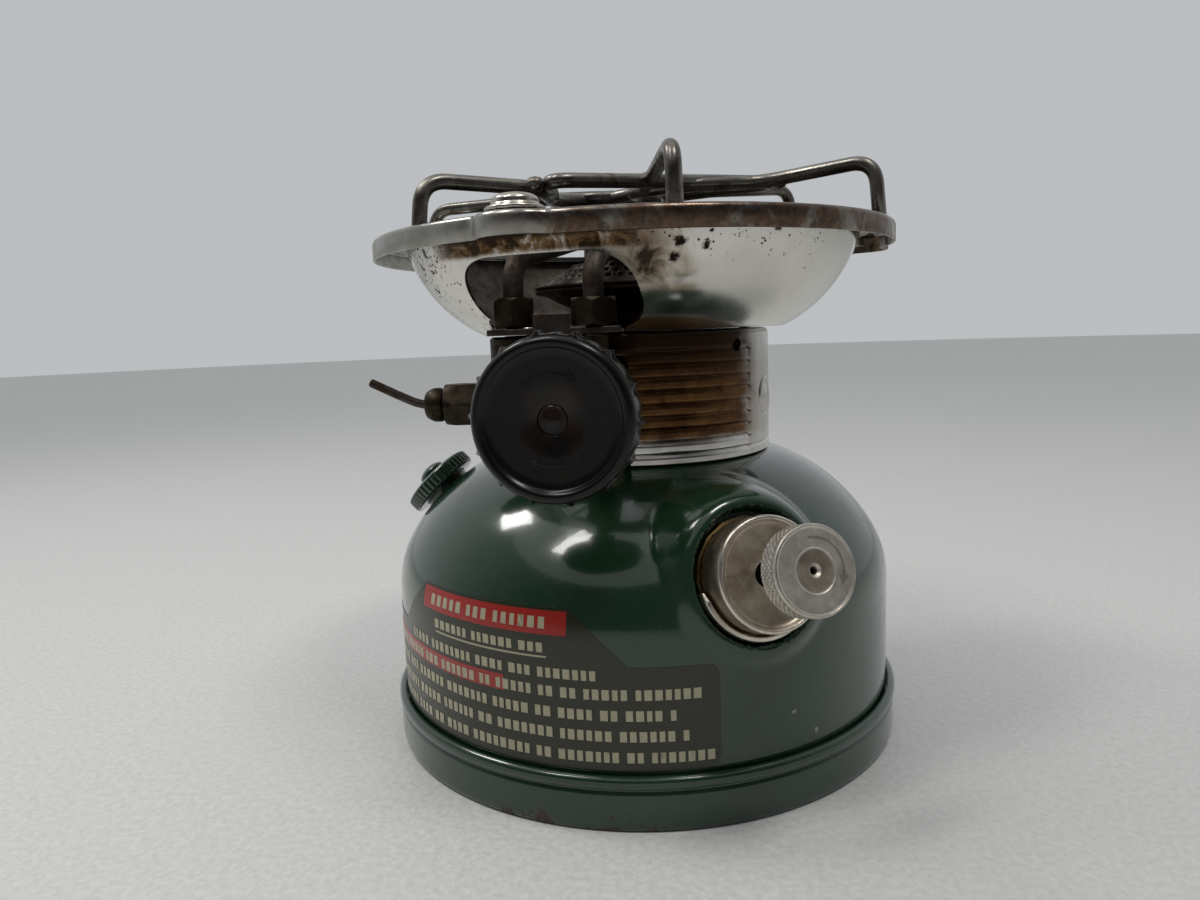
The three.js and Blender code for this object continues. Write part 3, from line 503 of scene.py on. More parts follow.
LOOKS = {
    "enamel_green": enamel_look("green_enamel", chipped=True),
    "enamel_cap": enamel_look("green_enamel_cap", chipped=False),
    "bowl": bowl_look(),
    "collar": collar_look(),
    "rim": rim_look(),
    "nickel_bright": metal_look(
        "nickel_plate", light=(0.60, 0.58, 0.53), dark=(0.42, 0.38, 0.31), stain=(0.20, 0.14, 0.08),
        rough=(0.14, 0.26), patch=5, stain_share=(0.55, 0.8)),
    "nickel_worn": metal_look(
        "worn_nickel", light=(0.36, 0.31, 0.25), dark=(0.24, 0.195, 0.15), stain=(0.12, 0.085, 0.055),
        rough=(0.26, 0.40), patch=7, stain_share=(0.5, 0.8), specks=0.36, speck_size=0.9),
    "cap_face": metal_look(
        "cap_plating", light=(0.60, 0.53, 0.43), dark=(0.36, 0.30, 0.225), stain=(0.20, 0.145, 0.095),
        rough=(0.34, 0.46), stain_share=(0.5, 0.8), specks=0.34, speck_size=0.8),
    "knob": metal_look(
        "knob_plating", light=(0.72, 0.68, 0.61), dark=(0.55, 0.50, 0.44), stain=(0.33, 0.28, 0.22),
        rough=(0.42, 0.54), patch=5, stain_share=(0.55, 0.8), specks=0.30, speck_size=0.7),
    "nickel_edge": metal_look(
        "rubbed_nickel", light=(0.78, 0.73, 0.64), dark=(0.60, 0.54, 0.45), stain=(0.30, 0.24, 0.17),
        rough=(0.26, 0.36), patch=5, stain_share=(0.6, 0.85), specks=0.3, speck_size=0.8),
    "steel_plain": metal_look(
        "plain_steel", light=(0.50, 0.50, 0.49), dark=(0.40, 0.39, 0.38), stain=BROWN_STAIN,
        rough=(0.2, 0.34), patch=6, stain_share=(0.62, 0.85)),
    "steel_blued": metal_look(
        "heat_darkened_wire", light=(0.25, 0.24, 0.21), dark=(0.115, 0.105, 0.095),
        stain=(0.085, 0.05, 0.032), rough=(0.22, 0.40), patch=13, stain_share=(0.52, 0.70),
        specks=0.34, speck_size=1.0, grain=(0.9, 0.03)),
    "steel_sooty": metal_look(
        "sooty_steel", light=(0.10, 0.088, 0.076), dark=(0.045, 0.036, 0.03), stain=(0.055, 0.028, 0.016),
        rough=(0.42, 0.62), patch=8, stain_share=(0.45, 0.7), specks=0.42, grain=(0.8, 0.05)),
    "steel_dull": metal_look(
        "dull_bowl_inside", light=(0.11, 0.098, 0.085), dark=(0.055, 0.047, 0.04), stain=(0.045, 0.03, 0.02),
        rough=(0.36, 0.5), patch=8, stain_share=(0.45, 0.7), specks=0.42, speck_size=1.6),
    "brass_sooty": metal_look(
        "dirty_brass", light=(0.050, 0.040, 0.027), dark=(0.030, 0.024, 0.017), stain=(0.020, 0.014, 0.010),
        rough=(0.36, 0.52), patch=5, stain_share=(0.45, 0.7), specks=0.36, speck_size=0.9,
        grain=(0.6, 0.03)),
    "brass_clean": metal_look(
        "plain_brass", light=(0.42, 0.31, 0.155), dark=(0.33, 0.24, 0.12), stain=(0.16, 0.105, 0.05),
        rough=(0.2, 0.32), patch=7, stain_share=(0.6, 0.85)),
    "moulding_black": moulding_look(),
    "leather": soft_look("oiled_leather", (0.10, 0.05, 0.025), (0.05, 0.025, 0.013), 1.2, 0.5),
    "packing": soft_look("graphite_packing", (0.03, 0.03, 0.033), (0.012, 0.012, 0.013), 0.6, 0.55),
    "panel": print_look("panel_ground", (0.023, 0.025, 0.0105), (0.012, 0.034, 0.017), (0.66, 0.80)),
    "banner": print_look("red_print", (0.40, 0.022, 0.014), (0.14, 0.02, 0.012)),
    "cream": print_look("cream_print", (0.50, 0.46, 0.31), (0.13, 0.125, 0.075), (0.60, 0.74)),
}

# The looks that belong to a CAD slot of another name, and those that are paint on another piece.
SLOTS = {"enamel_cap": "enamel_green", "bowl": "nickel_bright", "collar": "nickel_bright",
         "rim": "nickel_worn", "cap_face": "nickel_worn", "knob": "nickel_worn",
         "nickel_edge": "nickel_worn"}
PAINTED = ("panel", "banner", "cream")


# ---------------------------------------------------------------- mesh building

def arc(place, radius, start, end, steps):
    return [(place["r"] + radius * math.cos(math.radians(start + (end - start) * i / steps)),
             place["z"] + radius * math.sin(math.radians(start + (end - start) * i / steps)))
            for i in range(steps + 1)]


def rounded(corners, bends, steps=5, closed=False):
    """A polyline with round bends: corners are points of any dimension, bends their cut-back lengths."""
    points = [Vector(c) for c in corners]
    found = []
    for i, here in enumerate(points):
        bend = bends[i] if isinstance(bends, (list, tuple)) else bends
        if not bend or (not closed and i in (0, len(points) - 1)):
            found.append(here)
            continue
        before, after = points[i - 1], points[(i + 1) % len(points)]
        start = here.lerp(before, min(0.49, bend / (before - here).length))
        end = here.lerp(after, min(0.49, bend / (after - here).length))
        for k in range(steps + 1):
            t = k / steps
            found.append(start * (1 - t) ** 2 + here * 2 * t * (1 - t) + end * t ** 2)
    return found


def soft_profile(*corners):
    """A closed profile from (r, z, bend) corners."""
    return rounded([c[:2] for c in corners], [c[2] for c in corners], 4, True)


def lathe(profile, sides=64, shape=None, closed=True):
    """A profile of (r, z) points turned about Z. shape(r, azimuth, z) may move each point."""
    verts, rings = [], []
    for r, z in profile:
        if r < 1e-6:
            rings.append([len(verts)] * sides)
            verts.append((0, 0, z))
            continue
        ring = []
        for k in range(sides):
            turn = 2 * math.pi * k / sides
            rr, zz = shape(r, turn, z) if shape else (r, z)
            ring.append(len(verts))
            verts.append((rr * math.cos(turn), rr * math.sin(turn), zz))
        rings.append(ring)
    faces = []
    pairs = list(zip(rings, rings[1:])) + ([(rings[-1], rings[0])] if closed else [])
    for low, high in pairs:
        for k in range(sides):
            j = (k + 1) % sides
            corners = list(dict.fromkeys((low[k], low[j], high[j], high[k])))
            if len(corners) > 2:
                faces.append(corners)
    return verts, faces


def tube(path, radius, sides=20):
    """A round wire along a path, with its ends slightly rounded."""
    points = [Vector(p) for p in path]
    tangents = []
    for i in range(len(points)):
        ahead, behind = points[min(i + 1, len(points) - 1)], points[max(i - 1, 0)]
        tangents.append((ahead - behind).normalized())
    side = tangents[0].orthogonal().normalized()
    rings = []
    for i, (point, tangent) in enumerate(zip(points, tangents)):
        if i:
            side = tangents[i - 1].rotation_difference(tangent) @ side
        rings.append((point, tangent, side.copy(), radius))
    nose = radius * 0.25
    first, last = rings[0], rings[-1]
    rings.insert(0, (first[0] - first[1] * nose, first[1], first[2], radius * 0.78))
    rings.append((last[0] + last[1] * nose, last[1], last[2], radius * 0.78))
    verts, faces = [], []
    for point, tangent, out, r in rings:
        across = tangent.cross(out)
        for k in range(sides):
            turn = 2 * math.pi * k / sides
            verts.append(point + out * (r * math.cos(turn)) + across * (r * math.sin(turn)))
    for i in range(len(rings) - 1):
        for k in range(sides):
            j = (k + 1) % sides
            faces.append((i * sides + k, i * sides + j, (i + 1) * sides + j, (i + 1) * sides + k))
    faces.append(tuple(range(sides)))
    faces.append(tuple(range(len(verts) - sides, len(verts))))
    return verts, faces


def joined(*shapes):
    verts, faces = [], []
    for more_verts, more_faces in shapes:
        faces += [tuple(i + len(verts) for i in face) for face in more_faces]
        verts += list(more_verts)
    return verts, faces


def placed(shape, place):
    return [place @ Vector(v) for v in shape[0]], shape[1]


def finish_mesh(mesh, look, angle):
    bm = bmesh.new()
    bm.from_mesh(mesh)
    bmesh.ops.remove_doubles(bm, verts=bm.verts, dist=1e-7)
    bmesh.ops.recalc_face_normals(bm, faces=bm.faces)
    bm.to_mesh(mesh)
    bm.free()
    mesh.shade_smooth()
    mesh.set_sharp_from_angle(angle=math.radians(angle))
    mesh.materials.clear()
    mesh.materials.append(LOOKS[look])


def raw(name, shape, place=REST):
    mesh = bpy.data.meshes.new(name)
    world = STOVE @ place
    mesh.from_pydata([world @ Vector(v) for v in shape[0]], [], shape[1])
    bm = bmesh.new()
    bm.from_mesh(mesh)
    bmesh.ops.recalc_face_normals(bm, faces=bm.faces)
    bm.to_mesh(mesh)
    bm.free()
    obj = bpy.data.objects.new(name, mesh)
    bpy.context.scene.collection.objects.link(obj)
    return obj


def combine(obj, shapes, operation, place=REST):
    """Cuts shapes out of an object, or joins them to it, one after another."""
    tools = [raw("tool", shape, place) for shape in shapes]
    for tool in tools:
        modifier = obj.modifiers.new("shape", "BOOLEAN")
        modifier.object = tool
        modifier.operation = operation
        modifier.solver = "EXACT"
    bpy.context.view_layer.update()
    result = bpy.data.meshes.new_from_object(obj.evaluated_get(bpy.context.evaluated_depsgraph_get()))
    obj.modifiers.clear()
    obj.data = result
    for tool in tools:
        bpy.data.objects.remove(tool)
    return obj


def piece(name, shape, look, nodes=(), place=REST, body="stove", slot=None, cuts=(), unions=(), angle=38):
    """One visible piece of the stove, standing for CAD nodes and riding on their body."""
    obj = raw(name, shape, place)
    if unions:
        combine(obj, unions, "UNION", place)
    if cuts:
        combine(obj, cuts, "DIFFERENCE", place)
    finish_mesh(obj.data, look, angle)
    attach(obj, body)
    if look not in PAINTED:
        slot = slot or SLOTS.get(look, look)
    if nodes:
        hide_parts(*nodes)
    return obj


def rod(radius, start, end, sides=40, bevel=0.0):
    if bevel:
        profile = [(0, start), (radius - bevel, start), (radius, start + bevel),
                   (radius, end - bevel), (radius - bevel, end), (0, end)]
    else:
        profile = [(0, start), (radius, start), (radius, end), (0, end)]
    return lathe(profile, sides, closed=False)


def shifted(shape, x, y, z=0.0):
    return placed(shape, Matrix.Translation((x, y, z)))


def hexagon_nut(across, start, end, bore, chamfer=0.9, low_chamfer=0.0):
    """A hexagon nut with its corners turned off at the top, and at the bottom if asked."""
    half = across / 2
    corner = half / math.cos(math.pi / 6)

    def shape(r, turn, z):
        if r < half - 0.05:
            return r, z
        flat = half / math.cos((turn + math.pi / 6) % (math.pi / 3) - math.pi / 6)
        limit = corner
        if chamfer:
            limit = min(limit, half + (end - z) * (corner - half) / chamfer)
        if low_chamfer:
            limit = min(limit, half + (z - start) * (corner - half) / low_chamfer)
        return min(flat, limit), z

    heights = sorted({start, end, *[end - chamfer * k / 4 for k in range(5)],
                      *[start + low_chamfer * k / 4 for k in range(5)]})
    profile = [(bore, start)] + [(corner, z) for z in heights] + [(bore, end)]
    return lathe(profile, 72, shape)


def window(azimuth, half_width, low, high, near, far, corner, steps=8):
    """A straight-sided opening with round corners, running out along a level direction."""
    outline = rounded([(-half_width, low), (half_width, low), (half_width, high), (-half_width, high)],
                      corner, steps, True)
    count = len(outline)
    verts = [(x, y, z) for y in (near, far) for x, z in outline]
    faces = [tuple(range(count)), tuple(range(count, 2 * count))]
    faces += [(k, (k + 1) % count, count + (k + 1) % count, count + k) for k in range(count)]
    return placed((verts, faces), Matrix.Rotation(math.radians(azimuth - 90), 4, "Z"))


def bar(x, y, z):
    verts = [(a, b, c) for a in x for b in y for c in z]
    faces = [(0, 1, 3, 2), (4, 6, 7, 5), (0, 4, 5, 1), (2, 3, 7, 6), (0, 2, 6, 4), (1, 5, 7, 3)]
    return verts, faces


def smooth(value, low, high):
    t = min(1.0, max(0.0, (value - low) / (high - low)))
    return t * t * (3 - 2 * t)


# ---------------------------------------------------------------- fount

def fount_profile(inset):
    """The dome and the wall of the tank, from the top down, inset from the outer face."""
    top = WIDE["z"] + WIDE["radius"] - inset
    drop = FOUNT_BOTTOM - TIGHT["z"]
    return ([(0, top), (12, top)]
            + arc(WIDE, WIDE["radius"] - inset, 90, SHOULDER_TURN, 90)
            + arc(TIGHT, TIGHT["radius"] - inset, SHOULDER_TURN, 0, 26)[1:]
            + [(FOUNT_RADIUS - inset, TIGHT["z"] + drop * k / 50) for k in range(1, 51)])


def pump_pocket(point, inset):
    """Moves a point of the dome along the pump's axis to form the pressed seat for the pump."""
    offset = point - PUMP_PLACE
    along = offset.dot(PUMP_AIM)
    radial = offset - PUMP_AIM * along
    reach = radial.length
    if along < -34 or reach > 30:
        return point, reach
    upward = max(0.0, radial.z / max(reach, 1e-6))
    fade = 21.0 + 6.0 * upward
    face = -4.3 + 4.3 * smooth(reach, 14.7, 15.5) - inset
    target = face + (along - face) * smooth(reach, 16.0, fade)
    return point + PUMP_AIM * (target - along), reach


def fount_shell():
    """The tank: two skins, closer points round the pump, and a hole through both for the cylinder."""
    turns = [math.radians(PUMP_AZIMUTH - 24 + 0.45 * k) for k in range(107)]
    turns += [turns[-1] + math.radians(312.3 * k / 208) for k in range(1, 208)]

    def ring(r, z, inset):
        return [pump_pocket(Vector((r * math.cos(turn), r * math.sin(turn), z)), inset) for turn in turns]

    skins = [[ring(r, z, inset) for r, z in fount_profile(inset)] for inset in (0.0, FOUNT_WALL)]
    hole = [[reach < 10.8 and point.y < 0 for point, reach in row] for row in skins[0]]
    verts = [point for skin in skins for row in skin for point, _ in row]
    rows, count = len(hole), len(turns)
    other = rows * count
    quads = []
    for i in range(rows - 1):
        for k in range(count):
            j = (k + 1) % count
            if not (hole[i][k] and hole[i][j] and hole[i + 1][k] and hole[i + 1][j]):
                quads.append((i * count + k, i * count + j, (i + 1) * count + j, (i + 1) * count + k))
    edges = Counter((min(a, b), max(a, b)) for quad in quads for a, b in zip(quad, quad[1:] + quad[:1]))
    faces = quads + [tuple(other + v for v in quad) for quad in quads]
    faces += [(a, b, other + b, other + a) for (a, b), used in edges.items() if used == 1 and a >= count]
    piece("fount_shell_skin", (verts, faces), "enamel_green", ["fount_shell"], angle=50)


def fount_base():
    """The skirt with its rolled hem at the foot and its rolled bead, and the tank's bottom."""
    inner = FOUNT_RADIUS + 0.45
    profile = soft_profile(
        (8, 7.1, 0), (69.6, 7.1, 0.8), (69.6, 1.2, 0.4), (67, 1.2, 0.3), (67, 0, 0.4), (70.7, 0, 0.7),
        (71.0, 1.4, 0.8), (BASE_RADIUS, 8.7, 0.5), (70.5, 9.5, 0.5), (70.6, 10.0, 0.4), (71.35, 10.4, 0.7),
        (71.35, 12.2, 0.8), (70.3, 12.9, 0.6), (inner, 12.7, 0.3), (inner, 8.3, 0.2), (8, 8.3, 0))
    profile = [(0, 7.1)] + profile + [(0, 8.3)]
    piece("fount_base_skirt", lathe(profile, 180, closed=False), "enamel_green", ["fount_base"])


def wall_radius(z):
    """The fount's outside radius at a height."""
    if z <= TIGHT["z"]:
        return FOUNT_RADIUS
    return TIGHT["r"] + math.sqrt(TIGHT["radius"] ** 2 - (z - TIGHT["z"]) ** 2)


def patch(azimuths, low_of, high_of, rows, lift):
    """A thin closed sheet lying on the fount between two heights that vary with azimuth."""
    count = rows + 1
    verts, faces = [], []
    for depth in (lift, lift - 0.05):
        for azimuth in azimuths:
            low, high = low_of(azimuth), high_of(azimuth)
            for k in range(count):
                z = low + (high - low) * k / rows
                verts.append(polar(wall_radius(z) + depth, azimuth, z))
    columns = len(azimuths)
    other = columns * count
    for i in range(columns - 1):
        for k in range(rows):
            quad = (i * count + k, i * count + k + 1, (i + 1) * count + k + 1, (i + 1) * count + k)
            faces += [quad, tuple(other + v for v in quad)]
    rim = [k for k in range(count)] + [i * count + rows for i in range(1, columns)]
    rim += [(columns - 1) * count + k for k in range(rows - 1, -1, -1)]
    rim += [i * count for i in range(columns - 2, 0, -1)]
    for a, b in zip(rim, rim[1:] + rim[:1]):
        faces.append((a, b, other + b, other + a))
    return verts, faces


def label_ground():
    """Dark printed panel: a wide lower field with a narrower head joined by slopes."""
    half, corner = 46.6, 2.6
    foot, field_top, head_top = 13.5, 37.3, 49.8
    head_half, slope_width = 19.2, 10.8

    def corner_drop(off):
        inset = (half - off) * math.radians(1) * FOUNT_RADIUS
        return corner - math.sqrt(max(0.0, corner ** 2 - (corner - inset) ** 2)) if inset < corner else 0.0

    def high(azimuth):
        off = abs(azimuth - LABEL_MIDDLE)
        if off <= head_half:
            return head_top
        if off <= head_half + slope_width:
            return head_top + (field_top - head_top) * (off - head_half) / slope_width
        return field_top - corner_drop(off)

    def low(azimuth):
        return foot + corner_drop(abs(azimuth - LABEL_MIDDLE))

    azimuths = [LABEL_MIDDLE + half * k / 120 for k in range(-120, 121)]
    piece("tank_panel", patch(azimuths, low, high, 40, 0.10), "panel")


def strip(start, end, low, high, lift=0.16):
    """A printed bar between two azimuths and two heights."""
    steps = max(1, int((end - start) / 1.5))
    azimuths = [start + (end - start) * k / steps for k in range(steps + 1)]
    rows = max(1, int((high - low) / 1.2))
    return patch(azimuths, lambda _: low, lambda _: high, rows, lift)


def dash_row(draw, start, end, low, tall, spread):
    """One row of dashes: groups of 2 to 8, like words, with wider gaps for a larger spread."""
    dashes = []
    at, left = start, draw.randint(2, 8)
    while at < end - 0.8:
        wide = draw.uniform(0.95, 1.45)
        dashes.append(strip(at, min(at + wide, end), low, low + tall, 0.20))
        left -= 1
        at += wide + 0.55 * spread
        if not left:
            at += 1.0
            left = draw.randint(2, 8)
    return dashes


def label_rows():
    """Two red bands and rows of plain cream dashes, with no lettering."""
    bands = [strip(-141.6, -104.1, 44.0, 49.2), strip(-168.5, -117.6, 29.5, 33.3)]
    piece("tank_panel_bands", joined(*bands), "banner")
    draw = random.Random(11)
    dashes = [strip(-136.7, -108.1, 38.7, 39.15, 0.20)]
    for row in ((-138.4, -107.2, 45.3, 2.5, 1.5), (-136.8, -108.0, 39.9, 2.2, 1.0),
                (-147.9, -97.3, 34.2, 2.3, 1.0), (-167.5, -79.0, 29.9, 2.4, 1.0),
                (-165.0, -84.3, 25.1, 2.4, 1.0), (-166.5, -81.7, 20.3, 2.4, 1.0),
                (-168.0, -76.8, 15.4, 2.4, 1.0)):
        dashes += dash_row(draw, *row)
    piece("tank_panel_dashes", joined(*dashes), "cream")


def filler():
    """The filler's cap with its knurl, the cap's screw, and the neck under it."""
    def knurl(r, turn, z):
        if r > 10.6 and 1.7 < z < 5.0:
            return r - 0.28 * (0.5 - 0.5 * math.cos(turn * 44)), z
        return r, z

    cap = soft_profile((7.6, 1.2, 0), (10.9, 1.2, 0.3), (11.2, 1.8, 0.3), (11.2, 3.2, 0), (11.2, 4.9, 0.4),
                       (10.6, 5.5, 0.5), (8.2, 6.1, 0.8), (3.2, 6.6, 0), (3.2, 5.1, 0), (8.2, 5.1, 0))
    piece("filler_cap_skin", lathe(cap, 352, knurl), "enamel_cap", ["filler_cap"], FILLER, "filler_cap")
    head = rounded([(0, 4.6), (2.9, 4.6), (2.9, 6.9), (4.3, 6.9), (4.2, 7.6), (2.6, 8.8), (0, 9.1)],
                   [0, 0, 0, 0.2, 0.5, 1.2, 0])
    slot = bar((-5, 5), (-0.5, 0.5), (8.0, 10))
    piece("filler_cap_screw_skin", lathe(head, 48, closed=False), "enamel_cap", ["filler_cap_screw"],
          FILLER, "filler_cap", cuts=[slot])
    neck = soft_profile((6.0, -6, 0.2), (7.3, -6, 0.2), (7.3, 4.2, 0.2), (6.0, 4.2, 0.2))
    piece("filler_neck_skin", lathe(neck, 64), "enamel_cap", ["filler_neck"], FILLER)


# ---------------------------------------------------------------- pump

def pump_clip():
    """An open spring ring that stands proud on one side and lies low on the other."""
    def crescent(r, turn, z):
        azimuth = math.degrees(turn) - (360 if turn > math.pi else 0)
        proud = smooth(azimuth, -150, -138) * (1 - smooth(azimuth, 20, 70))
        return r + (0.35 * proud if r > 14 else 0), z - (1.0 - proud) * 1.6 * smooth(z, -2.0, 0.6)

    clip = soft_profile((13.3, -2.3, 0.2), (14.3, -2.3, 0.3), (14.4, -0.4, 0.5), (14.1, 0.9, 0.5),
                        (13.4, 1.0, 0.3))
    opening = [polar(30, azimuth) for azimuth in (62, 112, 162, 212)]
    wedge = [(0, 0, z) for z in (-5, 3)] + [(p.x, p.y, z) for z in (-5, 3) for p in opening]
    sides = [(0, 2, 3, 4, 5), (1, 9, 8, 7, 6), (0, 1, 6, 2), (2, 6, 7, 3), (3, 7, 8, 4), (4, 8, 9, 5),
             (5, 9, 1, 0)]
    piece("pump_cap_clip_ring", lathe(clip, 150, crescent), "nickel_edge", ["pump_cap_clip"], PUMP,
          cuts=[(wedge, sides)])


def pump_cap():
    """The dished cap, its rubbed edge, and the plunger's rod that runs through it."""
    cap = soft_profile((2.9, 3.4, 0), (8.8, 3.4, 0.3), (8.8, -4.8, 0), (9.3, -4.8, 0), (9.3, 3.4, 0),
                       (12, 3.4, 0.3), (12, -2.2, 0), (12.75, -2.2, 0.2), (12.8, 5.3, 0.5),
                       (12.65, 6.3, 0.5), (11.9, 6.5, 0.6), (11.2, 5.4, 0.9), (6.5, 4.7, 1.5),
                       (2.9, 4.6, 0.5))
    piece("pump_cap_disc", lathe(cap, 120), "cap_face", ["pump_cap"], PUMP)
    edge = soft_profile((11.7, 6.25, 0.1), (12.0, 6.62, 0.15), (12.5, 6.55, 0.2), (12.9, 6.0, 0.25),
                        (12.6, 5.7, 0.1))
    piece("pump_cap_edge", lathe(edge, 120), "nickel_edge", place=PUMP)
    end = KNOB_FACE - 2.2
    tube_wall = soft_profile((1.4, -63.6, 0), (2.2, -63.6, 0.2), (2.2, end, 0), (1.4, end, 0))
    piece("pump_rod_tube", lathe(tube_wall, 40), "steel_plain", ["pump_rod"], PUMP, "pump_knob")


def pump_knob():
    """The knob with its diamond knurl, its rubbed rim and arrow, and the dull disc in its middle."""
    def knurl(r, turn, z):
        depth = z - KNOB_FACE
        if r > 9.2 and -5.0 < depth < -0.8:
            one = abs((turn * 46 / (2 * math.pi) + depth * 0.72) % 1 - 0.5)
            two = abs((turn * 46 / (2 * math.pi) - depth * 0.72) % 1 - 0.5)
            fade = smooth(depth, -5.0, -4.6) * (1 - smooth(depth, -1.2, -0.8))
            return r - 0.62 * min(one, two) * fade, z
        return r, z

    f = KNOB_FACE
    knob = ([(2.4, f - 8.2), (4.9, f - 8.2), (5.2, f - 7.9), (8.5, f - 5.7), (9.2, f - 5.4)]
            + [(9.4, f - 5.1 + 4.4 * k / 22) for k in range(23)]
            + [(9.38, f - 0.35), (9.15, f - 0.05), (8.9, f), (8.7, f - 0.02), (8.5, f - 0.18),
               (8.3, f - 0.2), (4.7, f - 0.16), (4.5, f - 0.32), (4.3, f - 0.34), (1.35, f - 0.3),
               (0.8, f - 0.9), (0.8, f - 2), (2.4, f - 2)])
    piece("pump_knob_body", lathe(knob, 460, knurl), "knob", ["pump_knob"], PUMP, "pump_knob")
    bright = soft_profile((8.62, f - 0.16, 0.02), (8.85, f + 0.03, 0.04), (9.1, f - 0.02, 0.04),
                          (8.85, f - 0.2, 0.02))
    arrow = curved_arrow(6.6, 8, 118, 0.42, f - 0.24, f - 0.11)
    piece("pump_knob_edge", joined(lathe(bright, 120), arrow), "nickel_edge", (), PUMP, "pump_knob")
    disc = soft_profile((1.5, f - 0.5, 0), (4.2, f - 0.5, 0), (4.2, f - 0.3, 0.05), (1.5, f - 0.27, 0.05))
    piece("pump_knob_centre", lathe(disc, 60), "cap_face", (), PUMP, "pump_knob")


def curved_arrow(radius, start, end, width, low, high):
    """A raised arc with an arrowhead at its start, on a face square to Z."""
    steps = 24
    verts, faces = [], []
    for z in (low, high):
        for k in range(steps + 1):
            turn = start + (end - start) * k / steps
            for r in (radius - width / 2, radius + width / 2):
                verts.append(polar(r, turn, z))
    other = 2 * (steps + 1)
    for a in range(0, 2 * steps, 2):
        faces += [(a, a + 1, a + 3, a + 2), (other + a, other + a + 1, other + a + 3, other + a + 2),
                  (a, a + 2, other + a + 2, other + a), (a + 1, a + 3, other + a + 3, other + a + 1)]
    faces += [(a, a + 1, other + a + 1, other + a) for a in (0, 2 * steps)]
    tip = math.degrees(2.1 / radius)
    head = [polar(radius - 1.15, start + 0.5), polar(radius + 1.15, start + 0.5), polar(radius, start - tip)]
    head_verts = [(p.x, p.y, z) for z in (low, high) for p in head]
    head_faces = [(0, 1, 2), (3, 4, 5), (0, 1, 4, 3), (1, 2, 5, 4), (2, 0, 3, 5)]
    return joined((verts, faces), (head_verts, head_faces))


# ---------------------------------------------------------------- valve, lever and jet

def valve_wheel():
    """The ribbed handwheel with two raised arrows, and the flush nub of its screw."""
    face = WHEEL_FACE

    def ribs(r, turn, z):
        if r < 16.4:
            return r, z
        share = turn * WHEEL_RIBS / (2 * math.pi) % 1 - 0.5
        mm = share * 2 * math.pi * r / WHEEL_RIBS
        rib_fade = smooth(z, face - 8.2, face - 6.6) * (1 - smooth(z, face - 3.2, face - 1.4))
        rib = math.exp(-(mm / 0.75) ** 2) * rib_fade
        hollow_fade = smooth(z, face - 8, face - 6) * (1 - smooth(z, face - 4, face - 2))
        hollow = -0.28 * math.cos(2 * math.pi * share) * hollow_fade
        return r + 1.15 * rib + (hollow if r > 16.9 else 0), z

    profile = ([(2.4, face - 15.1), (5.0, face - 15.1), (5.3, face - 14.8), (5.5, face - 9.2),
                (6.1, face - 8.5), (15.0, face - 8.7), (16.2, face - 8.3), (17.0, face - 7.5)]
               + [(17.2, face - 7.0 + 5.0 * k / 12) for k in range(13)]
               + [(17.05, face - 1.35), (16.75, face - 0.75), (16.3, face - 0.3), (15.8, face - 0.04),
                  (15.3, face - 0.02), (14.85, face - 0.25), (14.5, face - 0.7), (14.2, face - 1.1),
                  (13.8, face - 1.28), (12.5, face - 1.35), (8, face - 1.6), (3.4, face - 1.75),
                  (3.2, face - 1.9), (3.2, face - 3.2), (2.4, face - 3.2)])
    arrows = [curved_arrow(9.4, start, start + 62, 0.5, face - 1.9, face - 1.25) for start in (58, 238)]
    wheel = joined(lathe(profile, WHEEL_RIBS * 26, ribs), *arrows)
    piece("valve_wheel_moulding", wheel, "moulding_black", ["valve_wheel"], SPINDLE, "valve_wheel")
    end = face - 2.7
    nub = [(0, end + 0.3), (3.05, end + 0.3), (3.05, end + 0.78), (2.85, end + 0.95), (1.5, end + 0.9),
           (1.1, end + 1.15), (0, end + 1.25)]
    piece("valve_wheel_nub", lathe(nub, 48, closed=False), "moulding_black", ["valve_wheel_screw"],
          SPINDLE, "valve_wheel")


def valve_body():
    """The casting: inlet column, spindle boss, cross arm and jet tower."""
    arm_start = aimed(Vector((VALVE.x, TOWER.y, VALVE.z)), LEVER_AIM)
    unions = [
        shifted(hexagon_nut(15, 82.5, 86.5, 0, 0.8, 0.8), VALVE.x, VALVE.y),
        placed(rod(6, 0, 17, bevel=0.5), SPINDLE),
        placed(rod(5.5, 0, VALVE.x - TOWER.x + 6.2, bevel=0.5), arm_start),
        shifted(rod(6.4, 87, TOWER_TOP, bevel=0.6), TOWER.x, TOWER.y),
    ]
    cuts = [placed(rod(3.5, 4, 19), SPINDLE), placed(rod(3.5, -3, 9), LEVER)]
    column = shifted(rod(5.2, 71, TOWER_TOP, bevel=0.4), VALVE.x, VALVE.y)
    piece("valve_body_casting", column, "brass_sooty", ["valve_body"], unions=unions, cuts=cuts)


def valve_spindle():
    packing = joined(hexagon_nut(12, 17.3, 25, 2.4, 0.9, 0.5),
                     lathe(soft_profile((2.4, 24.9, 0), (4.9, 24.9, 0), (4.9, 28, 0.4), (2.4, 28, 0)), 48))
    piece("valve_packing_nut_hex", packing, "brass_sooty", ["valve_packing_nut"], SPINDLE)
    stem = rod(2, 8.5, WHEEL_FACE - 2.7, 32)
    piece("valve_stem_rod", stem, "brass_sooty", ["valve_stem"], SPINDLE, "valve_stem")


